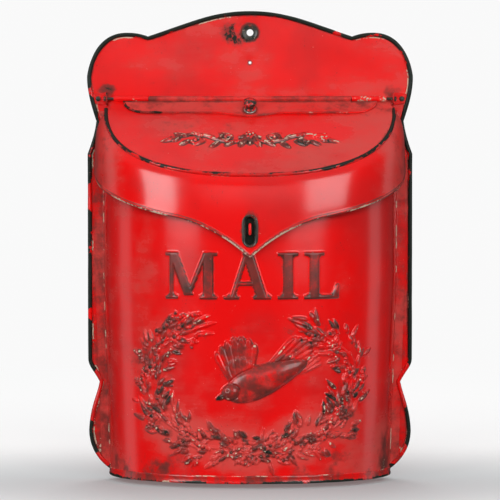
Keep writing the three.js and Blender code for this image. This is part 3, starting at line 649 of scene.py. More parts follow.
def wreath(relief, cx, cy, across, up):
    """Two dense leafy branches with berries and small flowers, open at the top."""
    random = np.random.RandomState(5)
    for side in (-1, 1):
        sweep = np.linspace(math.radians(-4), math.radians(156), 240)
        swell = 1 + 0.025 * np.sin(7 * sweep + side)
        sine, cosine = np.sin(sweep), np.cos(sweep)
        wide = np.sign(sine) * np.abs(sine) ** 0.9 * swell
        high = np.sign(cosine) * np.abs(cosine) ** 0.9 * swell
        spine = np.stack([cx + side * across * wide, cy - up * high], axis=1)
        spine = evenly(spine, 90)
        along = np.gradient(spine, axis=0)
        heading = np.arctan2(along[:, 1], along[:, 0])
        relief.stem(spine, 1.1, 1.2)

        def at(share, aside):
            """A place along the branch and off to one side of it, and the branch's heading."""
            k = min(int(share * 89), 88)
            angle = heading[k]
            return spine[k][0] - aside * math.sin(angle), spine[k][1] + aside * math.cos(angle), angle

        for _ in range(9):
            share, aside = random.uniform(0.05, 0.95), random.uniform(-8, 8)
            x, y, angle = at(share, aside)
            bend = angle + random.uniform(-1, 1)
            turns = [(t, bend + 0.03 * t) for t in range(0, 16, 3)]
            twig = [(x + t * math.cos(angle), y + t * math.sin(angle)) for t, angle in turns]
            relief.stem(twig, 0.8, 1.3)
        for share in np.linspace(0.0, 0.97, 150):
            reach = 14.5 * min(1.0, 0.5 + 2.0 * share) * min(1.0, 0.35 + 3.0 * (1 - share))
            aside = random.uniform(-1, 1) * reach
            x, y, angle = at(share, aside)
            lean = 0.075 * aside + random.uniform(-0.55, 0.55)
            length, width, height = (random.uniform(*ends) for ends in ((6.5, 12.5), (2.6, 4.2), (1.7, 2.9)))
            curl = random.uniform(-0.2, 0.2)
            relief.leaf(x, y, angle + lean, length, width, height, curl, any_tone(random))
        for share in np.linspace(0.03, 0.97, 26):
            aside = random.uniform(-13, 13)
            x, y, angle = at(share, aside)
            row = angle + random.uniform(-0.9, 0.9)
            for k in range(random.randint(2, 6)):
                px = x + 2.9 * k * math.cos(row) + random.uniform(-0.7, 0.7)
                py = y + 2.9 * k * math.sin(row) + random.uniform(-0.7, 0.7)
                radius, height = random.uniform(1.2, 1.9), random.uniform(2.2, 3.1)
                relief.berry(px, py, radius, height, any_tone(random))
        for share in (0.14, 0.33, 0.5, 0.69, 0.86):
            x, y, angle = at(share + random.uniform(-0.03, 0.03), random.uniform(-7, 7))
            radius, petals, first = random.uniform(4.4, 5.8), random.randint(5, 7), random.uniform(0, 6)
            relief.flower(x, y, radius, 2.5, petals, first, any_tone(random))
        x, y, angle = at(0.97, 0)
        for lean, length, aside in ((-0.2, 15, -5), (0.02, 18, 0), (0.2, 13, 5)):
            relief.leaf(x, y + aside, angle + lean, length, 3.2, 2.0, curl=0.05 * side, tone=0.4)


def dove(relief, x, y):
    """A plain flying dove seen from the side: tail, two raised wings, body, head and beak."""
    rise = math.radians(22)
    for lean in (-0.16, -0.02, 0.12):
        relief.leaf(x + 22, y + 6, rise + lean, 30, 8.0, 2.6, tone=0.45)
    # Each wing is a row of long feathers with a row of shorter ones over it.
    for dx, dy, start, end, root, radius, feathers, height, tone in (
        (-12, -8, 50, 24, 20, 66, 6, 3.0, 0.5),
        (-12, -8, 46, 25, 18, 48, 4, 3.9, 0.7),
        (-13, -26, 120, 78, 20, 62, 7, 2.9, 0.55),
        (-13, -26, 117, 81, 18, 46, 5, 3.7, 0.6),
    ):
        spread = math.radians(start), math.radians(end)
        relief.fan(x + dx, y + dy, *spread, root, radius, feathers, height, tone)
    relief.mound(x + 5, y + 1, rise, 74, 25, 5.4, 0.5, tone=0.74, taper=0.35)
    relief.mound(x - 25, y - 10, math.radians(14), 16, 13.5, 5.2, 0.5, tone=0.9)
    relief.leaf(x - 29, y - 12, math.radians(207), 9.5, 4.6, 3.4, tone=1.0)
    window, gx, gy = relief.near(x - 27.5, y - 8.5, 1.3)
    relief.h[window] -= 0.9 * np.clip(1 - (gx * gx + gy * gy) / 1.4, 0, 1)


SCROLL_COILS = ((0.30, 5.6, 200, -330), (0.62, 5.2, 20, 330), (0.9, 4.4, 200, -300))
SCROLL_LEAVES = (
    (0.08, 2, 66, 10), (0.16, 2, 32, 13), (0.2, -3, -30, 13), (0.36, 4, 40, 12), (0.42, -2, -26, 13),
    (0.52, 2, 28, 13), (0.56, -3, -44, 11), (0.70, 2, 30, 12), (0.74, -3, -28, 12), (0.88, 0, 14, 13),
)


def scroll(relief, y, half):
    """A symmetric leaf scroll with a small fan in the middle.

    A coil is its centre as a share of the half width, its radius, first angle and sweep. A leaf is its
    foot, as a share and a height, its angle and its length.
    """
    for side in (-1, 1):
        def at(px, py):
            return (side * px, y + py)

        wave = [at(t * half * 0.93, 5.0 * math.sin(t * 6.6) - 1.0) for t in np.linspace(0.05, 1, 44)]
        relief.stem(wave, 1.2, 2.0)
        for centre, radius, start, sweep in SCROLL_COILS:
            coil = []
            for t in np.linspace(0, 1, 26):
                angle = math.radians(start + sweep * t)
                r = radius * (1 - 0.72 * t)
                middle = 2.5 * math.cos(9 * centre)
                coil.append(at(centre * half + r * math.cos(angle), middle + r * math.sin(angle)))
            relief.stem(coil, 1.0, 2.1, tone=0.8)
            relief.berry(*coil[-1], 1.5, 2.4)
        for share, py, degrees, length in SCROLL_LEAVES:
            angle = math.radians(degrees)
            angle = angle if side > 0 else math.pi - angle
            tone = 0.9 if py > 0 else 0.3
            relief.leaf(*at(share * half, py), angle, length, 4.0, 2.1, 0.12 * side, tone)
    for k in range(7):
        angle = math.radians(90 + (k - 3) * 27)
        relief.leaf(0, y - 4, angle, 13 - abs(k - 3), 4.0, 2.4, tone=0.9)
    relief.flower(0, y - 5, 4.6, 2.4, 6, 0.3, tone=0.4)


# ---- Materials -------------------------------------------------------------------------------

class Nodes:
    """Short names for building a node tree."""

    def __init__(self, tree):
        self.tree = tree
        tree.nodes.clear()

    def make(self, kind, **settings):
        node = self.tree.nodes.new(kind)
        for key, value in settings.items():
            setattr(node, key, value)
        return node

    def link(self, source, socket):
        if isinstance(source, (int, float)):
            socket.default_value = source
        elif isinstance(source, tuple):
            socket.default_value = (*source, 1.0)
        else:
            self.tree.links.new(source, socket)

    def math(self, operation, *values):
        node = self.make("ShaderNodeMath", operation=operation)
        for value, socket in zip(values, node.inputs):
            self.link(value, socket)
        return node.outputs[0]

    def times(self, a, b):
        return self.math("MULTIPLY", a, b)

    def swing(self, value, amount):
        """A value around 0.5 turned into one around zero."""
        return self.times(self.math("SUBTRACT", value, 0.5), amount)

    def size(self, vector):
        node = self.make("ShaderNodeVectorMath", operation="LENGTH")
        self.link(vector, node.inputs[0])
        return node.outputs["Value"]

    def mix_shaders(self, factor, a, b):
        node = self.make("ShaderNodeMixShader")
        for source, socket in zip((factor, a, b), node.inputs):
            self.link(source, socket)
        return node.outputs[0]


class Material(Nodes):
    """The node tree of a new material."""

    def __init__(self, name):
        self.material = bpy.data.materials.new(name)
        self.material.use_nodes = True
        super().__init__(self.material.node_tree)
        self.output = self.make("ShaderNodeOutputMaterial")
        self.shader = self.make("ShaderNodeBsdfPrincipled")
        self.link(self.shader.outputs[0], self.output.inputs[0])
        self.place = self.make("ShaderNodeTexCoord").outputs["Object"]

    def shade(self, **inputs):
        """Sets or links the shader's inputs, named with underscores for spaces."""
        for name, value in inputs.items():
            self.link(value, self.shader.inputs[name.replace("_", " ")])

    def noise(self, scale, detail=4.0, rough=0.55, stretch=None):
        """Noise with features of about 1 / scale metres."""
        node = self.make("ShaderNodeTexNoise")
        place = self.place
        if stretch:
            mapping = self.make("ShaderNodeMapping")
            mapping.inputs["Scale"].default_value = stretch
            self.link(place, mapping.inputs["Vector"])
            place = mapping.outputs[0]
        self.link(place, node.inputs["Vector"])
        for name, value in (("Scale", scale), ("Detail", detail), ("Roughness", rough), ("Distortion", 0.0)):
            node.inputs[name].default_value = value
        return node.outputs["Fac"]

    def ramp(self, value, low, high):
        """0 below low, 1 above high, smooth between."""
        node = self.make("ShaderNodeMapRange", interpolation_type="SMOOTHSTEP")
        self.link(value, node.inputs["Value"])
        node.inputs["From Min"].default_value = low
        node.inputs["From Max"].default_value = high
        return node.outputs["Result"]

    def mix(self, factor, a, b):
        node = self.make("ShaderNodeMix", data_type="RGBA")
        self.link(factor, node.inputs["Factor"])
        self.link(a, node.inputs[6])
        self.link(b, node.inputs[7])
        return node.outputs[2]

    def blend(self, factor, a, b):
        node = self.make("ShaderNodeMix", data_type="FLOAT")
        self.link(factor, node.inputs[0])
        self.link(a, node.inputs[2])
        self.link(b, node.inputs[3])
        return node.outputs[0]

    def mask(self, name):
        return self.make("ShaderNodeAttribute", attribute_name=name).outputs["Fac"]

    def bump(self, height, strength, distance, normal=None):
        node = self.make("ShaderNodeBump")
        node.inputs["Strength"].default_value = strength
        node.inputs["Distance"].default_value = distance
        self.link(height, node.inputs["Height"])
        if normal is not None:
            self.link(normal, node.inputs["Normal"])
        return node.outputs[0]


BRIGHT_RED = (0.80, 0.003, 0.003)
DEEP_RED = (0.62, 0.010, 0.010)
DULL_RED = (0.60, 0.065, 0.055)
GLAZE_AND_SHADE = (0.130, 0.024, 0.019)
OLIVE = (0.024, 0.022, 0.016)
BLACK = (0.008, 0.014, 0.010)
METAL_AND_HIGHLIGHT = (0.64, 0.48, 0.36)
PALE_NICK = (0.75, 0.33, 0.28)


def enamel(name):
    """Distressed red enamel.

    The masks painted on the mesh say where it is glazed dark, worn to its black ground, chipped to
    bare metal, or rubbed to a dull haze; noise breaks up the edges of all four. In places the dark and
    black layers are painted shade, the dull layer a painted sheen and the bare-metal layer a painted
    highlight.
    """
    n = Material(name)
    cloudy = n.noise(30, 6, 0.66)
    streaks = n.noise(60, 6, 0.65, stretch=(0.35, 0.35, 1.6))
    fine = n.noise(430, 6, 0.65)
    grain = n.noise(105, 6, 0.64)

    def broken(mask, first, amount, second, other, low, high):
        """A mask with its edges broken up by two noises, each with its amount."""
        value = n.math("ADD", n.mask(mask), n.swing(first, amount))
        return n.ramp(n.math("ADD", value, n.swing(second, other)), low, high)

    haze = broken("haze", cloudy, 1.4, streaks, 1.1, 0.12, 1.20)
    dark = broken("dark", grain, 1.0, fine, 0.35, 0.32, 0.80)
    deepest = broken("dark", grain, 0.9, fine, 0.5, 0.74, 1.20)
    worn = broken("worn", grain, 1.5, fine, 0.6, 0.47, 0.58)
    bare = broken("bare", grain, 0.5, fine, 1.4, 0.50, 0.64)
    stray = n.times(n.ramp(n.noise(52, 3), 0.54, 0.66), n.ramp(n.noise(850, 3, 0.5), 0.66, 0.71))
    nicks = n.times(n.ramp(n.noise(620, 2, 0.5), 0.735, 0.76), n.ramp(n.noise(41, 3), 0.50, 0.62))
    colour = n.mix(n.ramp(n.noise(13, 3), 0.42, 0.68), BRIGHT_RED, DEEP_RED)
    # Layers of colour; where the masks carry painted shade, painted sheen or a painted highlight, these same
    # layers lay it.
    for amount, layer in (
        (n.times(haze, 0.85), DULL_RED),
        (n.times(dark, 0.90), GLAZE_AND_SHADE),
        (n.times(deepest, 0.85), OLIVE),
        (worn, BLACK),
        (n.times(stray, 0.8), GLAZE_AND_SHADE),
        (n.times(nicks, 0.7), PALE_NICK),
        (bare, METAL_AND_HIGHLIGHT),
    ):
        colour = n.mix(amount, colour, layer)
    rough = n.blend(dark, n.blend(haze, 0.19, 0.44), 0.40)
    coat = n.math("SUBTRACT", 1.0, n.math("MAXIMUM", n.times(worn, 0.8), bare))
    skin = n.bump(n.noise(260, 3, 0.5), 0.12, 0.0004)
    wave = n.bump(n.noise(45, 2, 0.5), 0.18, 0.0012, skin)
    lost_and_shaded = n.math("MAXIMUM", n.math("MAXIMUM", worn, bare), n.times(stray, 0.6))
    n.shade(
        Base_Color=colour,
        Metallic=n.times(bare, 0.25),
        Roughness=n.blend(worn, rough, 0.50),
        Specular_IOR_Level=0.22,
        Coat_Weight=n.times(coat, n.blend(haze, 0.85, 0.45)),
        Coat_Roughness=0.15,
        Coat_IOR=1.5,
        Normal=n.bump(n.math("SUBTRACT", 1.0, lost_and_shaded), 0.45, 0.00025, wave),
    )
    return n.material


def dark_metal(name, red_share):
    """Small fittings: primer rubbed to metal, with some red left."""
    n = Material(name)
    grain = n.noise(160, 6, 0.65)
    fine = n.noise(700, 4, 0.6)
    chip = n.times(n.ramp(fine, 0.62, 0.70), 0.8)
    colour = n.mix(n.ramp(grain, 0.4, 0.62), BLACK, (0.045, 0.04, 0.03))
    colour = n.mix(n.ramp(n.math("ADD", grain, red_share), 0.62, 0.70), colour, DEEP_RED)
    n.shade(
        Base_Color=n.mix(chip, colour, METAL_AND_HIGHLIGHT),
        Metallic=chip,
        Roughness=n.blend(n.ramp(fine, 0.3, 0.7), 0.28, 0.5),
        Coat_Weight=0.4,
        Coat_Roughness=0.2,
        Normal=n.bump(grain, 0.4, 0.0006),
    )
    return n.material


def steel(name):
    """Dull bare steel, brushed and lightly spotted."""
    n = Material(name)
    brushed = n.noise(300, 4, 0.6, stretch=(1, 12, 1))
    n.shade(
        Base_Color=n.mix(n.ramp(n.noise(220, 5, 0.6), 0.56, 0.7), (0.50, 0.48, 0.44), (0.20, 0.15, 0.11)),
        Metallic=0.9,
        Roughness=n.blend(brushed, 0.28, 0.5),
        Normal=n.bump(brushed, 0.3, 0.0003),
    )
    return n.material


RED = enamel("red_enamel")
FITTING = dark_metal("worn_fitting", red_share=0.0)
RED_FITTING = dark_metal("red_fitting", red_share=0.17)
STEEL = steel("bare_steel")

# ---- Back plate ------------------------------------------------------------------------------

PLATE_CURVES = [
    [(30, PLATE_TOP), (46, 187), (85, 174)],
    [(92, 176.5), (97, 177.2), (104, 177)],
    [(122, 176.5), (133, 161), (135.8, 141)],
    [(136.2, 130), (133, 118), (128.2, 103.3)],
    [(129.2, 95), (131, 88), (PLATE_SIDE, 76)],
    [(PLATE_SIDE, 20), (PLATE_SIDE, -40), (PLATE_SIDE, -95)],
    [(PLATE_SIDE, -102), (130.5, -105), (126, -114.5)],
    [(128, -126), (134, -136), (134.8, -155)],
    [(134.8, -174), (122, -190), (100, -PLATE_TOP)],
    [(66, -PLATE_TOP), (33, -PLATE_TOP), (0, -PLATE_TOP)],
]

# Places on the rim that kept their red, as (x, z, half the length of the patch).
RED_RIM = [
    (-135, 40, 9), (-124, -118, 13), (-133, -138, 8), (-128, -183, 8), (-135, -58, 4), (-135, 128, 2),
    (127, -112, 12), (131, -128, 7), (130, -178, 10), (74, 178, 2),
]


def plate_outline():
    """Outline of the back plate as (x, z), from the middle of its top round by the right."""
    start, half = np.array([0.0, PLATE_TOP]), []
    for curve in PLATE_CURVES:
        points = bezier(start, curve, 48)
        count = max(6, int(lengths(points)[-1] / 1.5))
        half.append(evenly(points, count)[:-1])
        start = np.array(curve[2], float)
    half.append(start[None])
    half = np.concatenate(half)
    left = half[1:-1][::-1] * [-1, 1]
    return np.concatenate([half, left])


def circle(x, y, radius, sides=36):
    angle = turn(sides)
    return np.stack([x + radius * np.cos(angle), y + radius * np.sin(angle)], axis=1)


def build_back_plate():
    outline = plate_outline()
    flat = offset(outline, RIM_RADIUS, closed=True)
    corner = (PLATE_SIDE + 0.5, PLATE_TOP)
    area = ((-corner[0], -corner[1]), corner)
    holes = [circle(0, EYELET_Z, 4.0), circle(0, PILOT_Z, 1.2, 16)]
    rings = [circle(0, EYELET_Z, r) for r in (5.5, 7.5, 9.5, 12)]
    rings += [circle(0, PILOT_Z, r, 24) for r in (2.2, 3.6, 5.2, 7, 9)]
    creases = [offset(flat, inset, closed=True) for inset in (1.9, 2.5, 3.3, 4.4)]
    fine = np.concatenate([lattice(*area, 3.2), *rings, *creases])

    def sizes(points):
        """Distances from the plate's edge and from the middle of the eyelet."""
        return distance_to(points, flat, closed=True), np.hypot(points[:, 0], points[:, 1] - EYELET_Z)

    def outer(points):
        x, z = points.T
        edge, from_hole = sizes(points)
        bulge = 0.35 * noise(x, z, 70, 3) * smooth(0, 25, edge)
        bulge = bulge + 0.10 * noise(x, z, 22, 4) * smooth(0, 10, edge)
        pilot_dish = -0.45 * np.exp(-((np.hypot(x, z - PILOT_Z) / 4.5) ** 2))
        dish = pilot_dish - 0.4 * np.exp(-((from_hole / 9.0) ** 2))
        return spot(x, SHEET + 0.02 + np.where(edge > 1, bulge + dish, 0), z)

    def inner(points):
        return spot(points[:, 0], 0.0, points[:, 1])

    def paint(points):
        x, z = points.T
        edge, from_hole = sizes(points)
        patches = layered(x, z, 11, 10)
        beside_hole = smooth(19, 5, np.hypot((x + 11) * 0.85, z - EYELET_Z + 1))
        beside_ear = smooth(14, 4, np.hypot(np.abs(x) - 119, (z - HINGE_Z - 6) * 1.3))
        beside_rod = smooth(7, 2, np.abs(z - HINGE_Z + 1)) * smooth(108, 100, np.abs(x))
        # Painted shade on the strip of plate between the body's wall and the rolled rim, darker on the left,
        # with a dull haze there.
        beside_body = smooth(137, 128, np.abs(x)) * smooth(HINGE_Z - 30, HINGE_Z - 50, z)
        crease = smooth(3.6, 2.6, edge) * smooth(1.4, 2.0, edge)
        lower_lobe = smooth(26, 8, np.hypot(np.abs(x) - 118, z + 176))
        upper_right = smooth(20, 100, x) * smooth(HINGE_Z - 10, HINGE_Z + 10, z)
        dark = most(
            np.clip(0.06 + 0.42 * layered(x, z, 34, 8), 0, 0.40),
            smooth(5.5, 1.5, edge) * (0.55 + 0.3 * layered(x, z, 30, 9)),
            beside_hole * (0.64 + 0.5 * patches),
            0.95 * smooth(9.2, 7.2, from_hole),
            0.75 * smooth(4.0, 1.0, np.hypot(x, z - PILOT_Z)),
            beside_ear * (0.75 + 0.6 * patches),
            0.50 * beside_rod,
            beside_body * (0.58 + 0.12 * patches - 0.13 * (x > 0)),
        )
        worn = most(beside_hole * (0.49 + 0.3 * patches), beside_ear * (0.34 + 0.5 * patches))
        bare = most(crease * np.clip(noise(x, z, 18, 23) * 1.6, 0, 0.85), lower_lobe * (0.42 + 0.4 * patches))
        haze = 0.18 + 0.8 * layered(x * 0.45, z, 30, 24) + 0.25 * beside_body + 0.22 * upper_right
        return {"dark": dark, "worn": worn, "bare": bare, "haze": np.clip(haze, 0, 1)}

    build = Build()
    sheet(build, flat, holes, fine, lattice(*area, 9.0), outer, inner, paint)
    along = lengths(outline)
    around = turn(18)
    wear = 0.86 + 0.22 * layered(along, 0, 60, 21)
    for patch_x, patch_z, reach in RED_RIM:
        away = np.hypot(outline[:, 0] - patch_x, outline[:, 1] - patch_z)
        wear = wear - 0.72 * smooth(reach + 4, reach - 2, away)
    wear = wear[:, None] + 0.16 * np.cos(around) + 0.14 * noise(along[:, None], 6 * around[None], 7, 5)
    radius = RIM_RADIUS * (0.97 + 0.05 * noise(along, 0, 14, 6))
    lip = smooth(2.0, 3.4, around)[None] * smooth(4.6, 3.4, around)[None]
    chips = 0.05 + 0.12 * noise(along, 0, 20, 7)[:, None]
    chips = chips + lip * np.clip(noise(along, 0, 16, 22), 0, 1)[:, None] * 0.75
    path = spot(flat[:, 0], RIM_RADIUS, flat[:, 1])
    tube(build, path, radius, (0, 1, 0), sides=18, closed=True, worn=wear, bare=chips, dark=0.4)
    build.finish("back_plate_enamelled", "box", ["back_plate"], RED)


# ---- Body ------------------------------------------------------------------------------------

def width_at(z):
    """Half the body's width at a height."""
    return np.interp(z, [BODY_BOTTOM, TAPER_Z], [FOOT_HALF, BODY_HALF])


def front_at(z):
    """Depth of the body's front at a height."""
    return np.interp(z, [BODY_BOTTOM, TAPER_Z], [FOOT_FRONT, BODY_FRONT])


def slope_height(depth):
    """Height of the lid's slope, drawn through the rod, at a depth."""
    return HINGE_Z - (depth - HINGE_DEPTH) * math.tan(LID_SLOPE)


def body_relief():
    relief = Relief((-136, -184), (136, 4))
    word_mail(relief, 2.0, -40.0, 38.0)
    wreath(relief, 1.0, -110.0, 89.0, 53.0)
    dove(relief, 9.0, -106.0)
    relief.settle()
    return relief


PICTURE_TOP = -41.5  # the word stands above this height, the wreath and the bird below it
BODY_HIGHEST = 112.0
RELIEF_SPACING = {"body": 0.62, "lid": 0.6}  # between the mesh's points where the relief is busy


class BodySection:
    """The body's sheet, unrolled: s runs round it from its middle, and z up it."""

    CORNER = 1.2  # bend between the wall and its flange

    def __init__(self):
        self.angles = half_turn(4001)
        line = superellipse(BODY_HALF, BODY_REAR, BODY_FRONT, BODY_POWER, self.angles)
        along = lengths(line)
        self.along = along - along[-1] / 2
        self.half = self.along[-1]
        self.bend = self.CORNER * math.pi / 2
        outline = plate_outline()
        right = outline[(outline[:, 0] > 90)]
        right = right[np.argsort(right[:, 1])]
        self.plate_z, self.plate_x = right[:, 1], right[:, 0]

    def end(self, z):
        """Where the flange ends: it is trimmed beside the back plate's rolled rim."""
        room = np.interp(z, self.plate_z, self.plate_x) - 2 * RIM_RADIUS - GAP - width_at(z)
        full = self.half + self.bend + np.clip(room - self.CORNER, 0, FLANGE_WIDTH - self.CORNER)
        bent = self.half + self.bend * np.arccos(np.clip(1 - room / self.CORNER, 0, 1)) / (math.pi / 2)
        return np.where(room > self.CORNER, full, np.where(room > 0, bent, self.half - 0.85))

    def place(self, points):
        """Plan place and outward normal of unrolled points."""
        s, z = points.T
        away, hand = np.abs(s), np.sign(s)
        angle = np.interp(np.clip(s, -self.half, self.half), self.along, self.angles)
        wide, front = width_at(z), front_at(z)
        line = superellipse(1.0, 0.0, 1.0, BODY_POWER, angle)
        x = line[:, 0] * wide
        depth = BODY_REAR + line[:, 1] * (front - BODY_REAR)
        nx = np.sign(line[:, 0]) * np.abs(line[:, 0]) ** (BODY_POWER - 1) / wide
        nd = np.abs(line[:, 1]) ** (BODY_POWER - 1) / (front - BODY_REAR)
        bent = np.clip((away - self.half) / self.bend, 0, 1) * math.pi / 2
        flat = np.clip(away - self.half - self.bend, 0, None)
        past = away > self.half
        x = np.where(past, hand * (wide + self.CORNER * (1 - np.cos(bent)) + flat), x)
        depth = np.where(past, BODY_REAR - self.CORNER * np.sin(bent), depth)
        nx = np.where(past, hand * np.cos(bent), nx)
        nd = np.where(past, np.sin(bent), nd)
        size = np.hypot(nx, nd)
        return x, depth, nx / size, nd / size

    def top(self, s):
        """Height of the sloping mouth."""
        depth = self.place(np.stack([s, np.zeros_like(s)], axis=1))[1]
        return slope_height(depth) - BODY_TOP_DROP


def body_outline(section):
    """The body's sheet laid flat: foot, trimmed flanges and sloping mouth, and its points' heights."""
    heights = np.arange(BODY_BOTTOM, BODY_HIGHEST, 2.0)
    side = np.stack([section.end(heights), heights], axis=1)
    side = side[side[:, 1] < section.top(side[:, 0]) - 0.6]
    edge, foot_end = (float(section.end(np.array([z]))[0]) for z in (BODY_HIGHEST - 1, BODY_BOTTOM))
    across = np.concatenate([np.arange(-edge, edge, 2.5), [edge]])
    mouth = np.stack([across, section.top(across)], axis=1)
    foot = np.arange(-foot_end + 1.5, foot_end - 1.4, 1.5)
    foot = np.stack([foot, np.full(len(foot), BODY_BOTTOM)], axis=1)
    return np.concatenate([foot, side, mouth[::-1], side[::-1] * [-1, 1]]), heights


def build_body():
    section = BodySection()
    relief = body_relief()
    half, bend = section.half, section.bend
    outline, heights = body_outline(section)
    columns = np.concatenate([
        np.stack([np.full(len(heights), hand * (half + shift)), heights], axis=1)
        for hand in (-1, 1) for shift in (-2.0, -1.0, -0.4, 0.0, 0.5, 1.0, 1.45, bend, 4.0)
    ])
    area = ((-half + 4, BODY_BOTTOM), (half - 4, BODY_HIGHEST))
    plain = lattice(*area, 3.0)
    plain = plain[relief.sample(relief.busy, plain[:, 0], plain[:, 1]) <= 0.05]
    fine = np.concatenate([relief.places(RELIEF_SPACING["body"]), plain, columns])
    coarse = np.concatenate([lattice(*area, 6.0), columns])

    def shape(points, lift):
        x, depth, nx, nd = section.place(points)
        return spot(x + nx * lift, depth + nd * lift, points[:, 1])

    def outer(points):
        s, z = points.T
        wall = smooth(0, 18, half - np.abs(s)) * smooth(BODY_BOTTOM, BODY_BOTTOM + 12, z)
        dents = 0.30 * noise(s, z, 85, 12) + 0.08 * noise(s, z, 26, 13)
        return shape(points, relief.sample(relief.h, s, z) + wall * dents)

    def inner(points):
        return shape(points, -SHEET)

    def paint(points):
        s, z = points.T
        away = np.abs(s)
        lift, hollow, high, tone = relief.masks(s, z)
        face = relief.sample(relief.face, s, z)
        blotch = layered(s, z, 30, 31)
        patches = layered(s, z, 15, 33)
        below_word = z < PICTURE_TOP
        pictured = (lift > 0.15) * below_word
        letter_edge = smooth(0.05, 0.25, face) * smooth(0.75, 0.45, face)
        letter_border = smooth(0.30, 0.60, face) * smooth(0.995, 0.9, face)
        edge_fold = np.exp(-(((away - half - 0.4) / 1.1) ** 2))
        # Painted shade along the body's back edges where the wall turns into its flange, darker on the left,
        # with a dull haze there.
        flange = smooth(half - 3, half + 2, away)
        around = smooth(24, 4, np.abs(np.hypot(s / 1.68, z + 110) - 53)) * smooth(-44, -72, z)
        # Painted shade on the body behind the hasp opening, seen through it: dark glaze and black.
        staple_shade = smooth(1.3, 0.7, np.hypot(s / 8.5, (z - 15) / 17))
        # A greyish dark patch low on the right of the body, spreading onto the flange.
        low_right_patch = smooth(30, 6, np.hypot(s - half + 24, (z + 172) * 0.66))
        corner = smooth(16, 3, np.hypot(away - half + 8, (z + 180) * 0.7))
        chipped_fold = smooth(0.34, 0.56, noise(z, np.sign(s) * 40, 5.0, 40))
        dark = most(
            0.85 * hollow * below_word * np.clip(0.75 + 0.8 * blotch, 0, 1),
            0.6 * hollow * ~below_word,
            pictured * tone * np.clip(1.0 + 0.7 * patches, 0, 1.2),
            pictured * np.clip(0.38 + 0.5 * patches, 0, 1),
            (0.80 + 0.35 * patches) * face,
            1.15 * letter_border,
            1.2 * staple_shade,
            smooth(-130, -188, z) * np.clip(0.42 + 0.55 * patches, 0, 1),
            around * np.clip(0.34 + 0.5 * patches, 0, 1),
            0.45 * edge_fold,
            0.5 * smooth(4.0, 0.5, z - BODY_BOTTOM - 4.5),
            flange * (0.56 + 0.12 * patches - 0.13 * (s > 0)),
            low_right_patch * (0.70 + 0.4 * patches),
        )
        worn = most(
            pictured * tone * np.clip(0.10 + 0.8 * patches + 0.20 * high, 0, 1),
            0.6 * smooth(-176, -189, z) * smooth(0.2, 0.6, layered(s, z, 20, 37)),
            0.8 * staple_shade,
            low_right_patch * (0.10 + 0.4 * patches),
        )
        bare = most(
            pictured * high * np.clip(0.12 + 0.8 * noise(s, z, 3.0, 36), 0, 1),
            letter_edge * (0.30 + 0.25 * noise(s, z, 5, 39)),
            1.3 * edge_fold * chipped_fold,
            corner * np.clip(0.34 + 0.5 * patches, 0, 0.62),
            low_right_patch * np.clip(0.30 + 0.2 * patches, 0, 0.5),
        )
        pink = smooth(72, 34, np.hypot(s * 0.62, z + 132)) * 0.62
        # Dull haze where the enamel is rubbed, plus a painted sheen: near both sides of the body the haze
        # stands for the reflection of the side lamps.
        rubbed_and_sheen = 0.5 * flange + low_right_patch + 0.35 * around + 0.3 * smooth(0.66, 0.8, away / half)
        rubbed_and_sheen = rubbed_and_sheen + 0.35 * smooth(-140, -178, z)
        clean = 0.9 * smooth(75, 25, np.hypot(s * 0.8, z + 20))
        haze = np.clip(0.02 + 0.9 * blotch + pink + rubbed_and_sheen, 0, 1) * (1 - clean)
        return {"dark": dark, "worn": worn, "bare": bare, "haze": haze}

    build = Build()
    sheet(build, outline, [], fine, coarse, outer, inner, paint)
    build.finish("body_pressed", "box", ["body_shell"], RED, sharp=75)


def foot_curve(grow):
    """The body's D at its foot, grown outwards, as 200 (x, depth) points."""
    line = superellipse(FOOT_HALF + grow, BODY_REAR, FOOT_FRONT + grow, BODY_POWER, half_turn(2001))
    return evenly(line, 200)


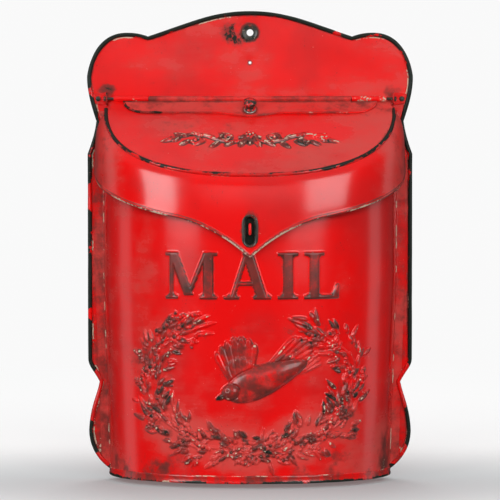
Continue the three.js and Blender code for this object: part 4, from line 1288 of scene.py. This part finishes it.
def build_floor():
    """Floor with its band folded up round the foot of the body."""
    low, high = FLOOR_Z, BODY_BOTTOM + BAND_HEIGHT
    profile = rounded_profile([
        (0.15, high - 0.1), (0.55, high + 0.1), (0.95, high - 0.3), (1.1, high - 1.2), (1.0, high - 2.6),
        (1.15, low + 1.8), (1.45, low + 1.0), (1.3, low + 0.2), (0.8, low - 0.1), (0.1, low),
    ], 0.5, 3)

    def row(out, z):
        x, depth = foot_curve(out).T
        return spot(x, depth, z)

    rows = np.array([row(*place) for place in profile])
    s = np.linspace(0, 1, rows.shape[1]) * 300
    rows[..., 2] += 0.12 * noise(s, 0, 6, 51)
    z = rows[..., 2]
    worn = smooth(low + 3.4, low + 1.2, z) * (0.66 + 0.5 * layered(s, 0, 30, 52))
    bare = most(
        smooth(high - 1.3, high - 0.2, z) * (0.35 + 0.4 * noise(s, 0, 10, 53)),
        smooth(low + 2.2, low + 1.2, z) * np.clip(noise(s, 0, 14, 55) * 1.6 - 0.75, 0, 1),
    )
    dark = 0.45 + 0.4 * layered(s, 0, 22, 54) + 0 * z
    inner = [row(0.1, low + SHEET), row(0.1, high - 0.6)]

    def close(values):
        """Adds plain values for the two inner rows, and the first row again."""
        return np.concatenate([values, np.full((2, values.shape[1]), 0.3), values[:1]])

    build = Build()
    rows = np.concatenate([rows, inner, rows[:1]])
    build.grid(rows, worn=close(worn), bare=close(bare), dark=close(dark))
    rear = np.array([[FLOOR_REAR_HALF, ON_PLATE], [-FLOOR_REAR_HALF, ON_PLATE]])
    outline = np.concatenate([foot_curve(0.4), rear])
    points, triangles = filled(outline, [], lattice((-120, 0), (120, 90), 12))
    under = spot(points[:, 0], points[:, 1], low)
    thick(build, points, triangles, under, under + [0, 0, SHEET], dark=0.35, worn=0.1)
    top = low + FLOOR_TAB
    tab = ((ON_PLATE, low), (ON_PLATE, top), (FLANGE_DEPTH, top), (FLANGE_DEPTH, low))
    rows = [[(x, -depth, z) for depth, z in tab] for x in (-FLOOR_REAR_HALF, FLOOR_REAR_HALF)]
    build.grid(rows, wrap=True, dark=0.3)
    build.finish("floor_band", "box", ["bottom_plate"], RED)


# ---- Lid -------------------------------------------------------------------------------------

def in_box(x, along, normal):
    """A place on the lid, given down its slope and along its normal, in the box's frame."""
    x, along, normal = np.broadcast_arrays(*(np.asarray(v, float) for v in (x, along, normal)))
    y = -HINGE_DEPTH - along * math.cos(LID_SLOPE) - normal * math.sin(LID_SLOPE)
    z = HINGE_Z - along * math.sin(LID_SLOPE) + normal * math.cos(LID_SLOPE)
    return np.stack([x, y, z], axis=-1)


LID_NORMAL = in_box(0, 0, 1) - in_box(0, 0, 0)


def seam_line(count):
    """The D where lid and skirt meet, as (x, down the slope)."""
    return evenly(superellipse(LID_HALF, LID_START, LID_REACH, LID_POWER, half_turn(3001)), count)


def slot_outline():
    """The letter slot, with a bay for the knob's screw head, as (x, down the slope)."""
    x, near, far = SLOT_HALF - SLOT_CORNER, SLOT_NEAR + SLOT_CORNER, SLOT_FAR - SLOT_CORNER
    arcs = (
        (-x, near, SLOT_CORNER, 270, 180),
        (-x, far, SLOT_CORNER, 180, 90),
        (0, KNOB_REACH, SLOT_BAY, 180, 0),
        (x, far, SLOT_CORNER, 90, 0),
        (x, near, SLOT_CORNER, 0, -90),
    )
    return np.array([
        (x + r * math.cos(a), y + r * math.sin(a))
        for x, y, r, start, end in arcs for a in np.radians(np.linspace(start, end, 9))
    ])


def knuckle(build, from_x, to_x, **masks):
    """A rolled knuckle on the rod, with a bore and slightly rounded ends; masks are functions of x."""
    shoulder = KNUCKLE - 0.3
    ends = rounded_profile([
        (KNUCKLE_BORE, from_x), (shoulder, from_x), (KNUCKLE, from_x + 0.3),
        (KNUCKLE, to_x - 0.3), (shoulder, to_x), (KNUCKLE_BORE, to_x),
    ], 0.3, 3)
    middle = [(KNUCKLE + 0.05 * noise(x, 0, 9, 61), x) for x in np.linspace(from_x + 1, to_x - 1, 60)]
    profile = np.concatenate([ends[:6], middle, ends[-6:], ends[:1]])
    sides = 24
    spread = {key: np.repeat(value(profile[:, 1])[:, None], sides, axis=1) for key, value in masks.items()}

    def on_rod(p):
        return in_box(p[:, 2], -p[:, 1], p[:, 0])

    lathe(build, profile, on_rod, sides, caps=False, **spread)


def build_lid():
    seam = seam_line(240)
    left = np.array([
        (-LID_KNUCKLE_START, KNUCKLE_ROOM), (-LID_KNUCKLE_START, 0), (-KNUCKLE_END, 0),
        (-LID_CORNER, KNUCKLE_ROOM), (-LID_CORNER, LID_NOTCH),
    ])
    outline = np.concatenate([left, seam, left[::-1] * [-1, 1]])
    area = ((-120, 0), (120, 102))
    relief = Relief((-78, 34), (78, 72))
    scroll(relief, 53.0, 70.0)
    relief.settle()
    plain = lattice(*area, 3.5)
    busy = relief.sample(relief.busy, plain[:, 0], plain[:, 1]) > 0.05
    fine = np.concatenate([relief.places(RELIEF_SPACING["lid"]), plain[~busy]])

    def level(points):
        x, u = points.T
        ease = smooth(0, 15, distance_to(points, seam)) * smooth(0, 20, u)
        return LID_LEVEL + (0.35 * noise(x, u, 60, 41) + 0.08 * noise(x, u, 20, 42)) * ease

    def outer(points):
        x, u = points.T
        return in_box(x, u, level(points) + SHEET / 2 + relief.sample(relief.h, x, u))

    def inner(points):
        return in_box(points[:, 0], points[:, 1], level(points) - SHEET / 2)

    def paint(points):
        x, u = points.T
        edge = distance_to(points, seam)
        lift, hollow, high, tone = relief.masks(x, u)
        blotch = layered(x, u, 34, 43)
        patches = layered(x, u, 13, 44)
        bright = smooth(16, 8, np.hypot((x - 62) * 0.6, u - 43))
        dark = most(
            1.5 * hollow,
            tone * np.clip(0.95 + 0.7 * patches, 0, 1.2),
            (lift > 0.1) * np.clip(0.5 + 0.6 * patches, 0, 1),
            0.6 * smooth(6.5, 2.0, edge) * np.clip(0.7 + patches, 0, 1),
            np.clip(0.04 + 0.5 * blotch + 0.08 * smooth(20, 95, x), 0, 0.5),
            # Painted shadow of the letter flap on the lid just below it.
            0.55 * smooth(27, 20, u) * np.clip(0.5 + patches, 0, 1),
        )
        worn = most(0.5 * hollow, tone * np.clip(0.22 + 0.7 * patches, 0, 1)) * (lift > 0.05)
        bare = high * np.clip(0.62 + 0.6 * noise(x, u, 3, 46), 0, 1)
        haze = np.clip(0.34 + 0.6 * blotch + 0.5 * smooth(10, 95, x), 0, 1) * (1 - bright)
        return {"dark": dark * (1 - 0.6 * bright), "worn": worn, "bare": bare, "haze": haze}

    build = Build()
    sheet(build, outline, [slot_outline()], fine, lattice(*area, 8.0), outer, inner, paint)
    s = lengths(seam)
    from_middle = np.abs(s / s[-1] - 0.5)
    around = turn(18)
    wear = 0.60 + 0.45 * layered(s, 0, 50, 47) + 0.12 * noise(s, 0, 5, 56)
    wear = wear * (0.60 + 0.45 * smooth(0.06, 0.30, from_middle))
    outwards = 0.15 + 0.35 * smooth(0.22, 0.42, from_middle)[:, None]
    facing_out = 0.12 * np.sin(around) - outwards * np.cos(around)
    wear = wear[:, None] + facing_out + 0.16 * noise(s[:, None], 6 * around[None], 6, 57)
    lip = smooth(0.9, 0.3, np.abs(around - 5.6))[None]
    chips = 0.14 + lip * np.clip(0.3 + noise(s, 0, 13, 49), 0, 1)[:, None] * 0.6
    radius = 1.75 * (0.96 + 0.06 * noise(s, 0, 12, 48))
    path = in_box(seam[:, 0], seam[:, 1], LID_LEVEL + 0.05)
    tube(build, path, radius, LID_NORMAL, sides=18, rounded=True, worn=wear, dark=0.5, bare=chips)
    for side in (-1, 1):
        ends = sorted((side * LID_KNUCKLE_START, side * KNUCKLE_END))
        knuckle(build, *ends, bare=lambda v: 0.25 + 0.3 * noise(v, 0, 8, 50), dark=lambda v: 0.15 + 0 * v)
    build.finish("lid_pressed", "lid", ["lid_top"], RED, sharp=50)


def skirt_drop(plan):
    """How far the skirt hangs below the seam: deeper at the sides, with a tongue in the middle."""
    x, depth = plan.T
    behind = depth - depth.min()
    fade = np.clip(behind / (82 - depth.min()), 0, 1)
    near = np.clip(1 - behind / 6.0, 0, 1)
    corner = 6.0 * (1 - np.sqrt(1 - near * near))
    tongue = np.clip(1 - np.abs(x) / 60.0, 0, 1) ** 1.9
    return 39 + 10 * (0.5 + 0.5 * np.cos(math.pi * fade)) - corner + 28.5 * tongue


def oval(half, low, high, count=40, waist=0.0):
    """A round-ended opening standing on end, as (x, z)."""
    angle = turn(count)
    middle, reach = (low + high) / 2, (high - low) / 2 - half
    z = np.where(np.sin(angle) >= 0, middle + reach, middle - reach) + half * np.sin(angle)
    pinch = 1 - waist * np.exp(-(((z - middle) / 3.0) ** 2))
    return np.stack([half * np.cos(angle) * pinch, z], axis=1)


def build_skirt():
    seam = seam_line(600)
    edge = in_box(seam[:, 0], seam[:, 1], LID_LEVEL)
    plan = np.stack([edge[:, 0], -edge[:, 1]], axis=1)
    normal = -rights(plan)
    s = lengths(plan)
    middle = s[-1] / 2
    drop = skirt_drop(plan)

    def surface(points, inwards):
        """Maps (distance along the seam, drop below it) to the outer or inner face."""
        at, down = points.T
        foot = np.stack([np.interp(at, s, plan[:, k]) for k in range(2)], axis=1)
        out = np.stack([np.interp(at, s, normal[:, k]) for k in range(2)], axis=1)
        out /= np.linalg.norm(out, axis=1, keepdims=True)
        reach = TONGUE_OUT + (SIDE_OUT - TONGUE_OUT) * np.abs(out[:, 0]) ** 1.5
        bell = 1 - np.exp(-np.clip(down - 2.3, 0, None) / 9.0)
        low = np.interp(at, s, drop) - down
        hem = 0.45 * smooth(3.2, 2.2, low) - 0.35 * smooth(0.8, 0.0, low)
        wave = 0.35 * noise(at, down, 80, 71) + 0.08 * noise(at, down, 24, 72)
        far = 1.0 + (reach - 1.0) * bell - 0.5 * np.clip(2.3 - down, 0, None)
        far = far + hem + wave * smooth(2, 10, down) * smooth(0, 8, low) - inwards
        place = foot + out * far[:, None]
        return spot(place[:, 0], place[:, 1], np.interp(at, s, edge[:, 2]) - down)

    lower = np.stack([s, drop], axis=1)
    upper = np.stack([s[::-6], np.full(len(s[::-6]), 1.2)], axis=1)
    outline = np.concatenate([lower[::2], lower[-1:], upper])
    outline = outline[np.concatenate([[True], np.linalg.norm(np.diff(outline, axis=0), axis=1) > 1e-3])]
    level = edge[:, 2].min()
    cut = oval(4.3, HASP_LOW_Z + 1.0, HASP_HIGH_Z - 1.0)
    hole = np.stack([middle + cut[:, 0], level - cut[:, 1]], axis=1)
    rows = [lattice((0, 0), (s[-1], 75), 2.6)]
    rows += [np.stack([s[::2], drop[::2] - inset], axis=1) for inset in (0.8, 1.6, 2.2, 2.7, 3.2, 4.0)]
    points, triangles = filled(outline, [hole], np.concatenate(rows))
    at, down = points.T
    low = np.interp(at, s, drop) - down
    aside = np.abs(at / middle - 1)
    blotch = layered(at, down, 40, 73)
    near_slot = np.hypot((at - middle) / 6.6, (down - level + 16) / 13.5)
    near_tip = smooth(30, 8, np.abs(at - middle))
    hem = smooth(1.9 + 0.5 * near_tip, 1.3 + 0.4 * near_tip, low)
    # Painted shade on the skirt just under the seam's bead.
    dark = most(
        0.6 * smooth(1.35, 1.0, near_slot) + np.clip(0.2 + 0.4 * blotch, 0, 1) * 0.6,
        0.35 * smooth(4.0, 1.0, down),
        smooth(3.6, 2.8, low) * smooth(1.6, 2.4, low) * 0.75,
        hem * 0.75,
        0.36 * smooth(0.66, 0.82, aside),
    )
    # Besides the worn hem, a painted highlight: a light line on the skirt's shoulder just under the bead,
    # where it catches the light.
    bare = most(
        hem * (0.46 + 0.22 * near_tip + 0.3 * noise(at, 0, 12, 74)),
        0.45 * smooth(1.3, 2.2, down) * smooth(3.4, 2.4, down),
    )
    haze = 0.75 * smooth(0.58, 0.78, aside) - 0.7 * smooth(0.46, 0.24, aside) + 0.25 * blotch
    build = Build()
    faces = surface(points, 0), surface(points, SHEET)
    thick(build, points, triangles, *faces, dark=dark, bare=bare, haze=haze)
    build.finish("skirt_pressed", "lid", ["lid_skirt"], RED, sharp=50)


def build_hasp_eyelet():
    """Oval ring round the hasp opening: a rolled lip outside and a short wall through the tongue."""
    low, high = cad("hasp_eyelet")
    front, back = -low[1], -high[1]
    half = (high[0] - low[0]) / 2
    # Half width, depth and how strongly the waist is pinched.
    rings = (
        (half - 0.4, front - 1.3, 0.5), (half, front - 0.9, 0.2), (half - 0.2, front - 0.35, 0),
        (half - 0.9, front, 0), (half - 1.9, front - 0.15, 0), (half - 2.8, front - 0.8, 0.6),
        (3.25, front - 1.4, 1.0), (3.2, back, 1.0), (4.1, back, 0), (4.1, front - 1.3, 0),
    )
    rows = []
    for reach, depth, pinch in rings:
        grow = 0.62 * (reach - half)
        line = oval(reach, low[2] - grow, high[2] + grow, 64, waist=0.16 * pinch)
        rows.append(spot(line[:, 0], depth, line[:, 1]))
    build = Build()
    build.grid([*rows, rows[0]], wrap=True, caps=False)
    build.finish("hasp_ring", "lid", ["hasp_eyelet"], FITTING)


# ---- Letter flap and knob --------------------------------------------------------------------

FLAP_HALF, FLAP_REACH, FLAP_END = 105.5, 18.5, 19.0
FLAP_LEVEL = -KNUCKLE + SHEET + GAP


def flap_outline():
    """Outline of the flap's plate: straight below, dipping under the knob, with rounded ends."""
    straight = FLAP_HALF - FLAP_END
    x = np.linspace(0, 30, 31)
    droop = np.clip(1 - x / 30, 0, 1)
    run = np.linspace(32, straight, 24)
    angle = np.linspace(math.pi / 2, 0, 20)[1:]
    end = straight + FLAP_END * np.cos(angle), KNUCKLE_ROOM + (FLAP_REACH - KNUCKLE_ROOM) * np.sin(angle)
    right = np.concatenate([
        np.stack([x, FLAP_REACH + 4.5 * droop * droop * (3 - 2 * droop)], axis=1),
        np.stack([run, np.full(len(run), FLAP_REACH)], axis=1),
        np.stack(end, axis=1),
        [(KNUCKLE_SPLIT, KNUCKLE_ROOM), (KNUCKLE_SPLIT, KNUCKLE - 0.4)],
    ])
    return np.concatenate([right[1:][::-1] * [-1, 1], right])


def build_flap():
    outline = flap_outline()
    points, triangles = filled(outline, [], lattice((-107, 0), (107, 25), 2.2))
    x, u = points.T
    lower = outline[(outline[:, 1] > KNUCKLE + 1.2)]
    edge = distance_to(points, lower)
    lift = 0.55 * smooth(3.0, 1.2, edge) + 0.15 * noise(x, u, 30, 81) * smooth(0, 4, edge)
    blotch = layered(x, u, 24, 82)
    # Painted shade: a dark ring round the knob's foot, and a dark and black line in the gap under the
    # knuckle.
    dark = most(
        0.32 + 0.3 * blotch + 0.14 * smooth(0, 90, x),
        0.375 * smooth(2.2, 1.2, np.abs(edge - 3.4)),
        0.75 * smooth(9.5, 5.5, np.hypot(x, u - KNOB_REACH)),
        0.75 * smooth(4.4, 3.0, u),
    )
    worn = smooth(3.2, 0.8, edge) * (0.15 + 0.75 * smooth(-62, -80, x)) + 0.2 * smooth(3.8, 2.6, u)
    bare = 0.22 * smooth(2.0, 0.6, edge)
    haze = 0.85 + 0.3 * blotch
    build = Build()
    outer, inner = (in_box(x, u, FLAP_LEVEL + height) for height in (SHEET + lift, 0))
    thick(build, points, triangles, outer, inner, dark=dark, worn=worn, bare=bare, haze=haze)
    roll = offset(evenly(lower, 220), 0.55)
    s = lengths(roll)
    left_end = smooth(-62, -80, roll[:, 0])
    tube(
        build, in_box(roll[:, 0], roll[:, 1], FLAP_LEVEL + 0.75), 0.72, LID_NORMAL, sides=12, rounded=True,
        worn=0.14 + left_end * (0.42 + 0.35 * noise(s, 0, 6, 87)),
        dark=0.45 + 0.3 * noise(s, 0, 18, 83),
        bare=0.24 + 0.3 * noise(s, 0, 9, 84),
    )
    knuckle(
        build, -KNUCKLE_SPLIT, KNUCKLE_SPLIT,
        dark=lambda v: 0.50 + 0.25 * noise(v, 0, 22, 85),
        bare=lambda v: 0.10 + 0.3 * noise(v, 0, 9, 86),
        haze=lambda v: 0.6 + 0 * v,
    )
    build.finish("flap_pressed", "flap", ["letter_flap"], RED, sharp=50)


def on_flap(p):
    """Local points standing on the flap under the knob."""
    return in_box(p[:, 0], KNOB_REACH + p[:, 1], p[:, 2])


WASHER_BOTTOM = FLAP_LEVEL + SHEET + GAP
KNOB_BOTTOM = WASHER_BOTTOM + 1 + GAP


def build_knob():
    profile = [
        (1.6, 0.0), (4.5, 0.0), (4.6, 0.7), (3.7, 1.8), (3.9, 3.4), (5.2, 4.7), (5.7, 6.0), (5.3, 7.5),
        (3.6, 8.8), (1.6, 9.35), (0.01, 9.4),
    ]
    turned_piece("knob_turned", "flap", "flap_knob", RED_FITTING, profile, 0.7,
                 on_flap, 56, base=KNOB_BOTTOM, sharp=60)
    low, top = WASHER_BOTTOM, WASHER_BOTTOM + 1
    profile = [(1.7, low), (5.2, low), (5.1, low + 0.6), (4.6, top), (1.7, top), (1.7, low)]
    turned_piece("knob_base", "flap", "knob_washer", STEEL, profile, 0.25,
                 on_flap, 48, steps=3, bored=True)
    seat, tip = FLAP_LEVEL - GAP, KNOB_BOTTOM + 5.4
    low = seat - 1.8
    profile = [
        (0.01, low), (2.0, low), (3.0, low + 0.9), (3.0, seat), (1.3, seat), (1.3, tip), (0.01, tip),
    ]
    turned_piece("knob_screw_turned", "flap", "knob_screw", STEEL, profile, 0.4, on_flap, 32)


# ---- Small fittings on the box ---------------------------------------------------------------

def facing(x, z):
    """Places local points with +Z out of the wall at (x, z)."""
    return lambda p: spot(x + p[:, 0], p[:, 2], z + p[:, 1])


def build_hanger():
    base = ON_PLATE
    profile = [
        (2.8, 0.1), (3.7, 0.1), (3.7, base), (6.8, base), (6.7, base + 0.7), (6.1, base + 1.05),
        (5.4, base + 0.75), (4.4, base + 0.35), (3.4, base + 0.3), (2.8, base + 0.1), (2.8, 0.1),
    ]
    turned_piece("hanger_ring", "box", "hanger_eyelet", FITTING, profile, 0.35,
                 facing(0, EYELET_Z), 64, bored=True)


def build_ear(side, node, rivet):
    """A bracket of thick sheet: foot on the plate, tab pierced by the rod."""
    low, high = (corner[2] for corner in cad(node))
    tab_x, far = side * EAR_X, side * EAR_END_X
    build = Build()
    arc = [
        (HINGE_DEPTH + EAR_RADIUS * math.cos(a), HINGE_Z + EAR_RADIUS * math.sin(a))
        for a in half_turn(25)[::-1]
    ]
    tab = np.array([(ON_PLATE, low), (ON_PLATE, high), *arc])
    hole = circle(HINGE_DEPTH, HINGE_Z, KNUCKLE_BORE, 24)
    points, triangles = filled(tab, [hole], lattice((0, low), (14, high), 2.0))
    wear = 0.35 + 0.3 * layered(points[:, 0] * 4, points[:, 1] * 4, 20, 91)
    inner = spot(tab_x, points[:, 0], points[:, 1])
    thick(build, points, triangles, inner, inner + [side * EAR_SHEET, 0, 0], worn=wear, dark=0.6)
    foot = np.array([(tab_x, low), (far, low + 1.6), (far, high - 1.6), (tab_x, high)])
    hole = circle(side * RIVET_X, HINGE_Z, 1.4, 24)
    points, triangles = filled(foot, [hole], lattice((-132, low), (132, high), 1.6))
    rear = spot(points[:, 0], ON_PLATE, points[:, 1])
    thick(build, points, triangles, rear - [0, EAR_SHEET, 0], rear, dark=0.45, worn=0.25)
    piece = build.finish(node + "_bent", "box", [node], RED, sharp=35)
    bevel = piece.modifiers.new("soft_edges", "BEVEL")
    bevel.width = 0.25 * MM
    bevel.segments = 2
    seat = ON_PLATE + EAR_SHEET + GAP
    profile = [
        (0.01, 0.1), (1.1, 0.1), (1.1, seat), (2.2, seat), (2.1, seat + 0.5), (1.5, seat + 1.0),
        (0.01, seat + 1.2),
    ]
    turned_piece(rivet + "_domed", "box", rivet, FITTING, profile, 0.35,
                 facing(side * RIVET_X, HINGE_Z), 28)


def build_rod():
    end = cad("hinge_rod")[1][0]
    head = end - ROD_HEAD_LENGTH
    right = [(ROD_RADIUS, head), (ROD_HEAD, head), (ROD_HEAD, end - 0.9), (ROD_HEAD - 0.4, end), (0.01, end)]
    profile = [(radius, -x) for radius, x in right[::-1]] + right

    def on_hinge(p):
        return spot(p[:, 2], HINGE_DEPTH - p[:, 0], HINGE_Z + p[:, 1])

    turned_piece("rod_peened", "box", "hinge_rod", FITTING, profile, 0.4, on_hinge, 24)


def build_staple():
    """A wire loop standing out of the body's front, its two tails bent apart inside."""
    low, high = cad("hasp_staple")
    outer, tail = -low[1] - STAPLE_WIRE, -high[1] + STAPLE_WIRE
    middle = (low[2] + high[2]) / 2

    def corner(depth, z, start, end):
        angles = np.radians(np.linspace(start, end, 9))
        return [(depth + STAPLE_BEND * math.cos(a), z + STAPLE_BEND * math.sin(a)) for a in angles]

    upper = [(tail, (high[2] - low[2]) / 2)]
    upper += corner(tail + STAPLE_BEND, STAPLE_HALF + STAPLE_BEND, 180, 270)
    upper += corner(outer - STAPLE_BEND, STAPLE_HALF - STAPLE_BEND, 90, 0)
    path = evenly(np.array(upper + [(d, -z) for d, z in upper[::-1]]), 90)
    line = spot(0.0, path[:, 0], middle + path[:, 1])
    bare = 0.2 + 0.3 * noise(lengths(path), 0, 5, 95)
    build = Build()
    tube(build, line, STAPLE_WIRE, (1, 0, 0), sides=20, rounded=True, dark=0.25, bare=bare, worn=0.15)
    build.finish("staple_bent", "box", ["hasp_staple"], RED)


def build_backing():
    """The small plate inside the body that the staple's legs go through."""
    low, high = cad("staple_backing_plate")
    corners = np.array([(low[0], low[2]), (high[0], low[2]), (high[0], high[2]), (low[0], high[2])])
    outline = rounded_profile([corners[-1], *corners, corners[0]], 2, 6)[1:-1]
    middle = (low[2] + high[2]) / 2
    holes = [circle(0, middle + side * STAPLE_HALF, 1.5, 20) for side in (-1, 1)]
    points, triangles = filled(outline, holes, lattice(corners[0], corners[2], 3.0))
    front = spot(points[:, 0], -low[1], points[:, 1])
    build = Build()
    thick(build, points, triangles, front, front + [0, high[1] - low[1], 0])
    build.finish("backing_plate_cut", "box", ["staple_backing_plate"], STEEL)


build_back_plate()
build_body()
build_floor()
build_lid()
build_skirt()
build_hasp_eyelet()
build_flap()
build_knob()
build_hanger()
for side, hand in ((-1, "left"), (1, "right")):
    build_ear(side, "hinge_ear_" + hand, "ear_rivet_" + hand)
build_rod()
build_staple()
build_backing()

# ---- Stage: floor, light and camera ----------------------------------------------------------

BACKDROP = (0.95, 0.95, 0.95)
PALE_FLOOR_Z = -0.1955
CAMERA_DISTANCE = 3.0
CAMERA_ELEVATION = math.radians(3.0)
VIEW_WIDTH = 0.41806  # metres seen across the picture at the wall
LOOK_AT = Vector((0.0, -0.05, -0.0018))


def flat_piece(name, size, z, material):
    mesh = bpy.data.meshes.new(name)
    corners = [(-size, -size, z), (size, -size, z), (size, size, z), (-size, size, z)]
    mesh.from_pydata(corners, [], [[0, 1, 2, 3]])
    mesh.materials.append(material)
    piece = bpy.data.objects.new(name, mesh)
    bpy.context.scene.collection.objects.link(piece)
    return piece


def build_floor_stage():
    """A pale, faintly glowing floor with a painted shadow near the object, fading to the backdrop's tone
    further out.
    """
    n = Material("studio_floor")
    under = n.make("ShaderNodeVectorMath", operation="MULTIPLY_ADD")
    n.link(n.place, under.inputs[0])
    under.inputs[1].default_value = (0.5, 1.0, 0.0)
    under.inputs[2].default_value = (0.0, 0.04, 0.0)
    # Painted shadow: near the object the floor's colour and glow are lowered.
    clear = n.ramp(n.size(under.outputs[0]), 0.03, 0.34)
    n.shade(
        Base_Color=n.mix(clear, (0.44, 0.46, 0.47), (0.80, 0.80, 0.80)),
        Roughness=0.9,
        Specular_IOR_Level=0.1,
        Emission_Color=(1.0, 1.0, 1.0),
        Emission_Strength=n.blend(clear, 0.15, 0.30),
    )
    far = n.make("ShaderNodeEmission")
    n.link(BACKDROP, far.inputs["Color"])
    blend = n.mix_shaders(n.ramp(n.size(n.place), 0.3, 1.1), n.shader.outputs[0], far.outputs[0])
    n.link(blend, n.output.inputs[0])
    floor = flat_piece("studio_floor", 30.0, PALE_FLOOR_Z, n.material)
    floor.visible_glossy = False
    floor.visible_diffuse = False


def area_light(name, place, aim, width, height, power, mirrored=True):
    light = bpy.data.lights.new(name, "AREA")
    light.shape = "RECTANGLE"
    light.size, light.size_y = width, height
    light.energy = power
    lamp = bpy.data.objects.new(name, light)
    lamp.location = place
    lamp.rotation_euler = (Vector(aim) - Vector(place)).to_track_quat("-Z", "Y").to_euler()
    lamp.visible_glossy = mirrored
    bpy.context.scene.collection.objects.link(lamp)


def build_world():
    """A pale studio. The object is lit from its sides, dimly from the camera's side and softly from above."""
    world = bpy.data.worlds.new("studio")
    bpy.context.scene.world = world
    world.use_nodes = True
    n = Nodes(world.node_tree)

    def brightness(along, points):
        """Brightness by direction along an axis, where -1 to 1 becomes 0 to 1, joined smoothly."""
        node = n.make("ShaderNodeValToRGB")
        ramp = node.color_ramp
        ramp.interpolation = "EASE"
        while len(ramp.elements) < len(points):
            ramp.elements.new(0.5)
        for element, (place, level) in zip(ramp.elements, points):
            element.position = place
            element.color = (level, level, level, 1)
        n.link(n.math("MULTIPLY_ADD", along, 0.5, 0.5), node.inputs[0])
        return node.outputs[0]

    def background(colour, strength):
        node = n.make("ShaderNodeBackground")
        n.link(colour, node.inputs["Color"])
        n.link(strength, node.inputs["Strength"])
        return node.outputs[0]

    split = n.make("ShaderNodeSeparateXYZ")
    n.link(n.make("ShaderNodeTexCoord").outputs["Generated"], split.inputs[0])
    sides = [(0.30, 0.05), (0.44, 0.08), (0.50, 0.80), (0.58, 0.70), (0.68, 0.10), (0.76, 0.05)]
    above = [(0.66, 0.0), (0.84, 0.30), (1.0, 0.34)]
    levels = brightness(split.outputs["Y"], sides), brightness(split.outputs["Z"], above)
    lit = background((1.0, 1.0, 1.0), n.math("MAXIMUM", *levels))
    to_camera = n.make("ShaderNodeLightPath").outputs["Is Camera Ray"]
    output = n.make("ShaderNodeOutputWorld")
    n.link(n.mix_shaders(to_camera, lit, background(BACKDROP, 1.0)), output.inputs[0])


def build_camera():
    camera = bpy.data.cameras.new("camera")
    camera.sensor_width = 36
    width_at_target = VIEW_WIDTH * CAMERA_DISTANCE / (CAMERA_DISTANCE - LOOK_AT.y)
    camera.lens = camera.sensor_width * CAMERA_DISTANCE / width_at_target
    eye = bpy.data.objects.new("camera", camera)
    towards = Vector((0, -math.cos(CAMERA_ELEVATION), math.sin(CAMERA_ELEVATION)))
    eye.location = LOOK_AT + towards * CAMERA_DISTANCE
    eye.rotation_euler = (-towards).to_track_quat("-Z", "Y").to_euler()
    bpy.context.scene.collection.objects.link(eye)
    bpy.context.scene.camera = eye


build_floor_stage()
build_world()
box_middle = (0, -0.03, 0)
area_light("left_soft", (-1.42, -1.85, 0.60), box_middle, 0.9, 1.3, 21)
area_light("right_soft", (1.14, -2.02, 0.60), box_middle, 1.0, 1.3, 17)
area_light("front_fill", (0.0, -2.4, 0.55), box_middle, 1.2, 0.8, 28, mirrored=False)
area_light("behind", (0.0, 2.0, 1.5), (0, 0, 0), 1.6, 1.2, 26)
build_camera()
bpy.context.scene.view_settings.view_transform = "Standard"
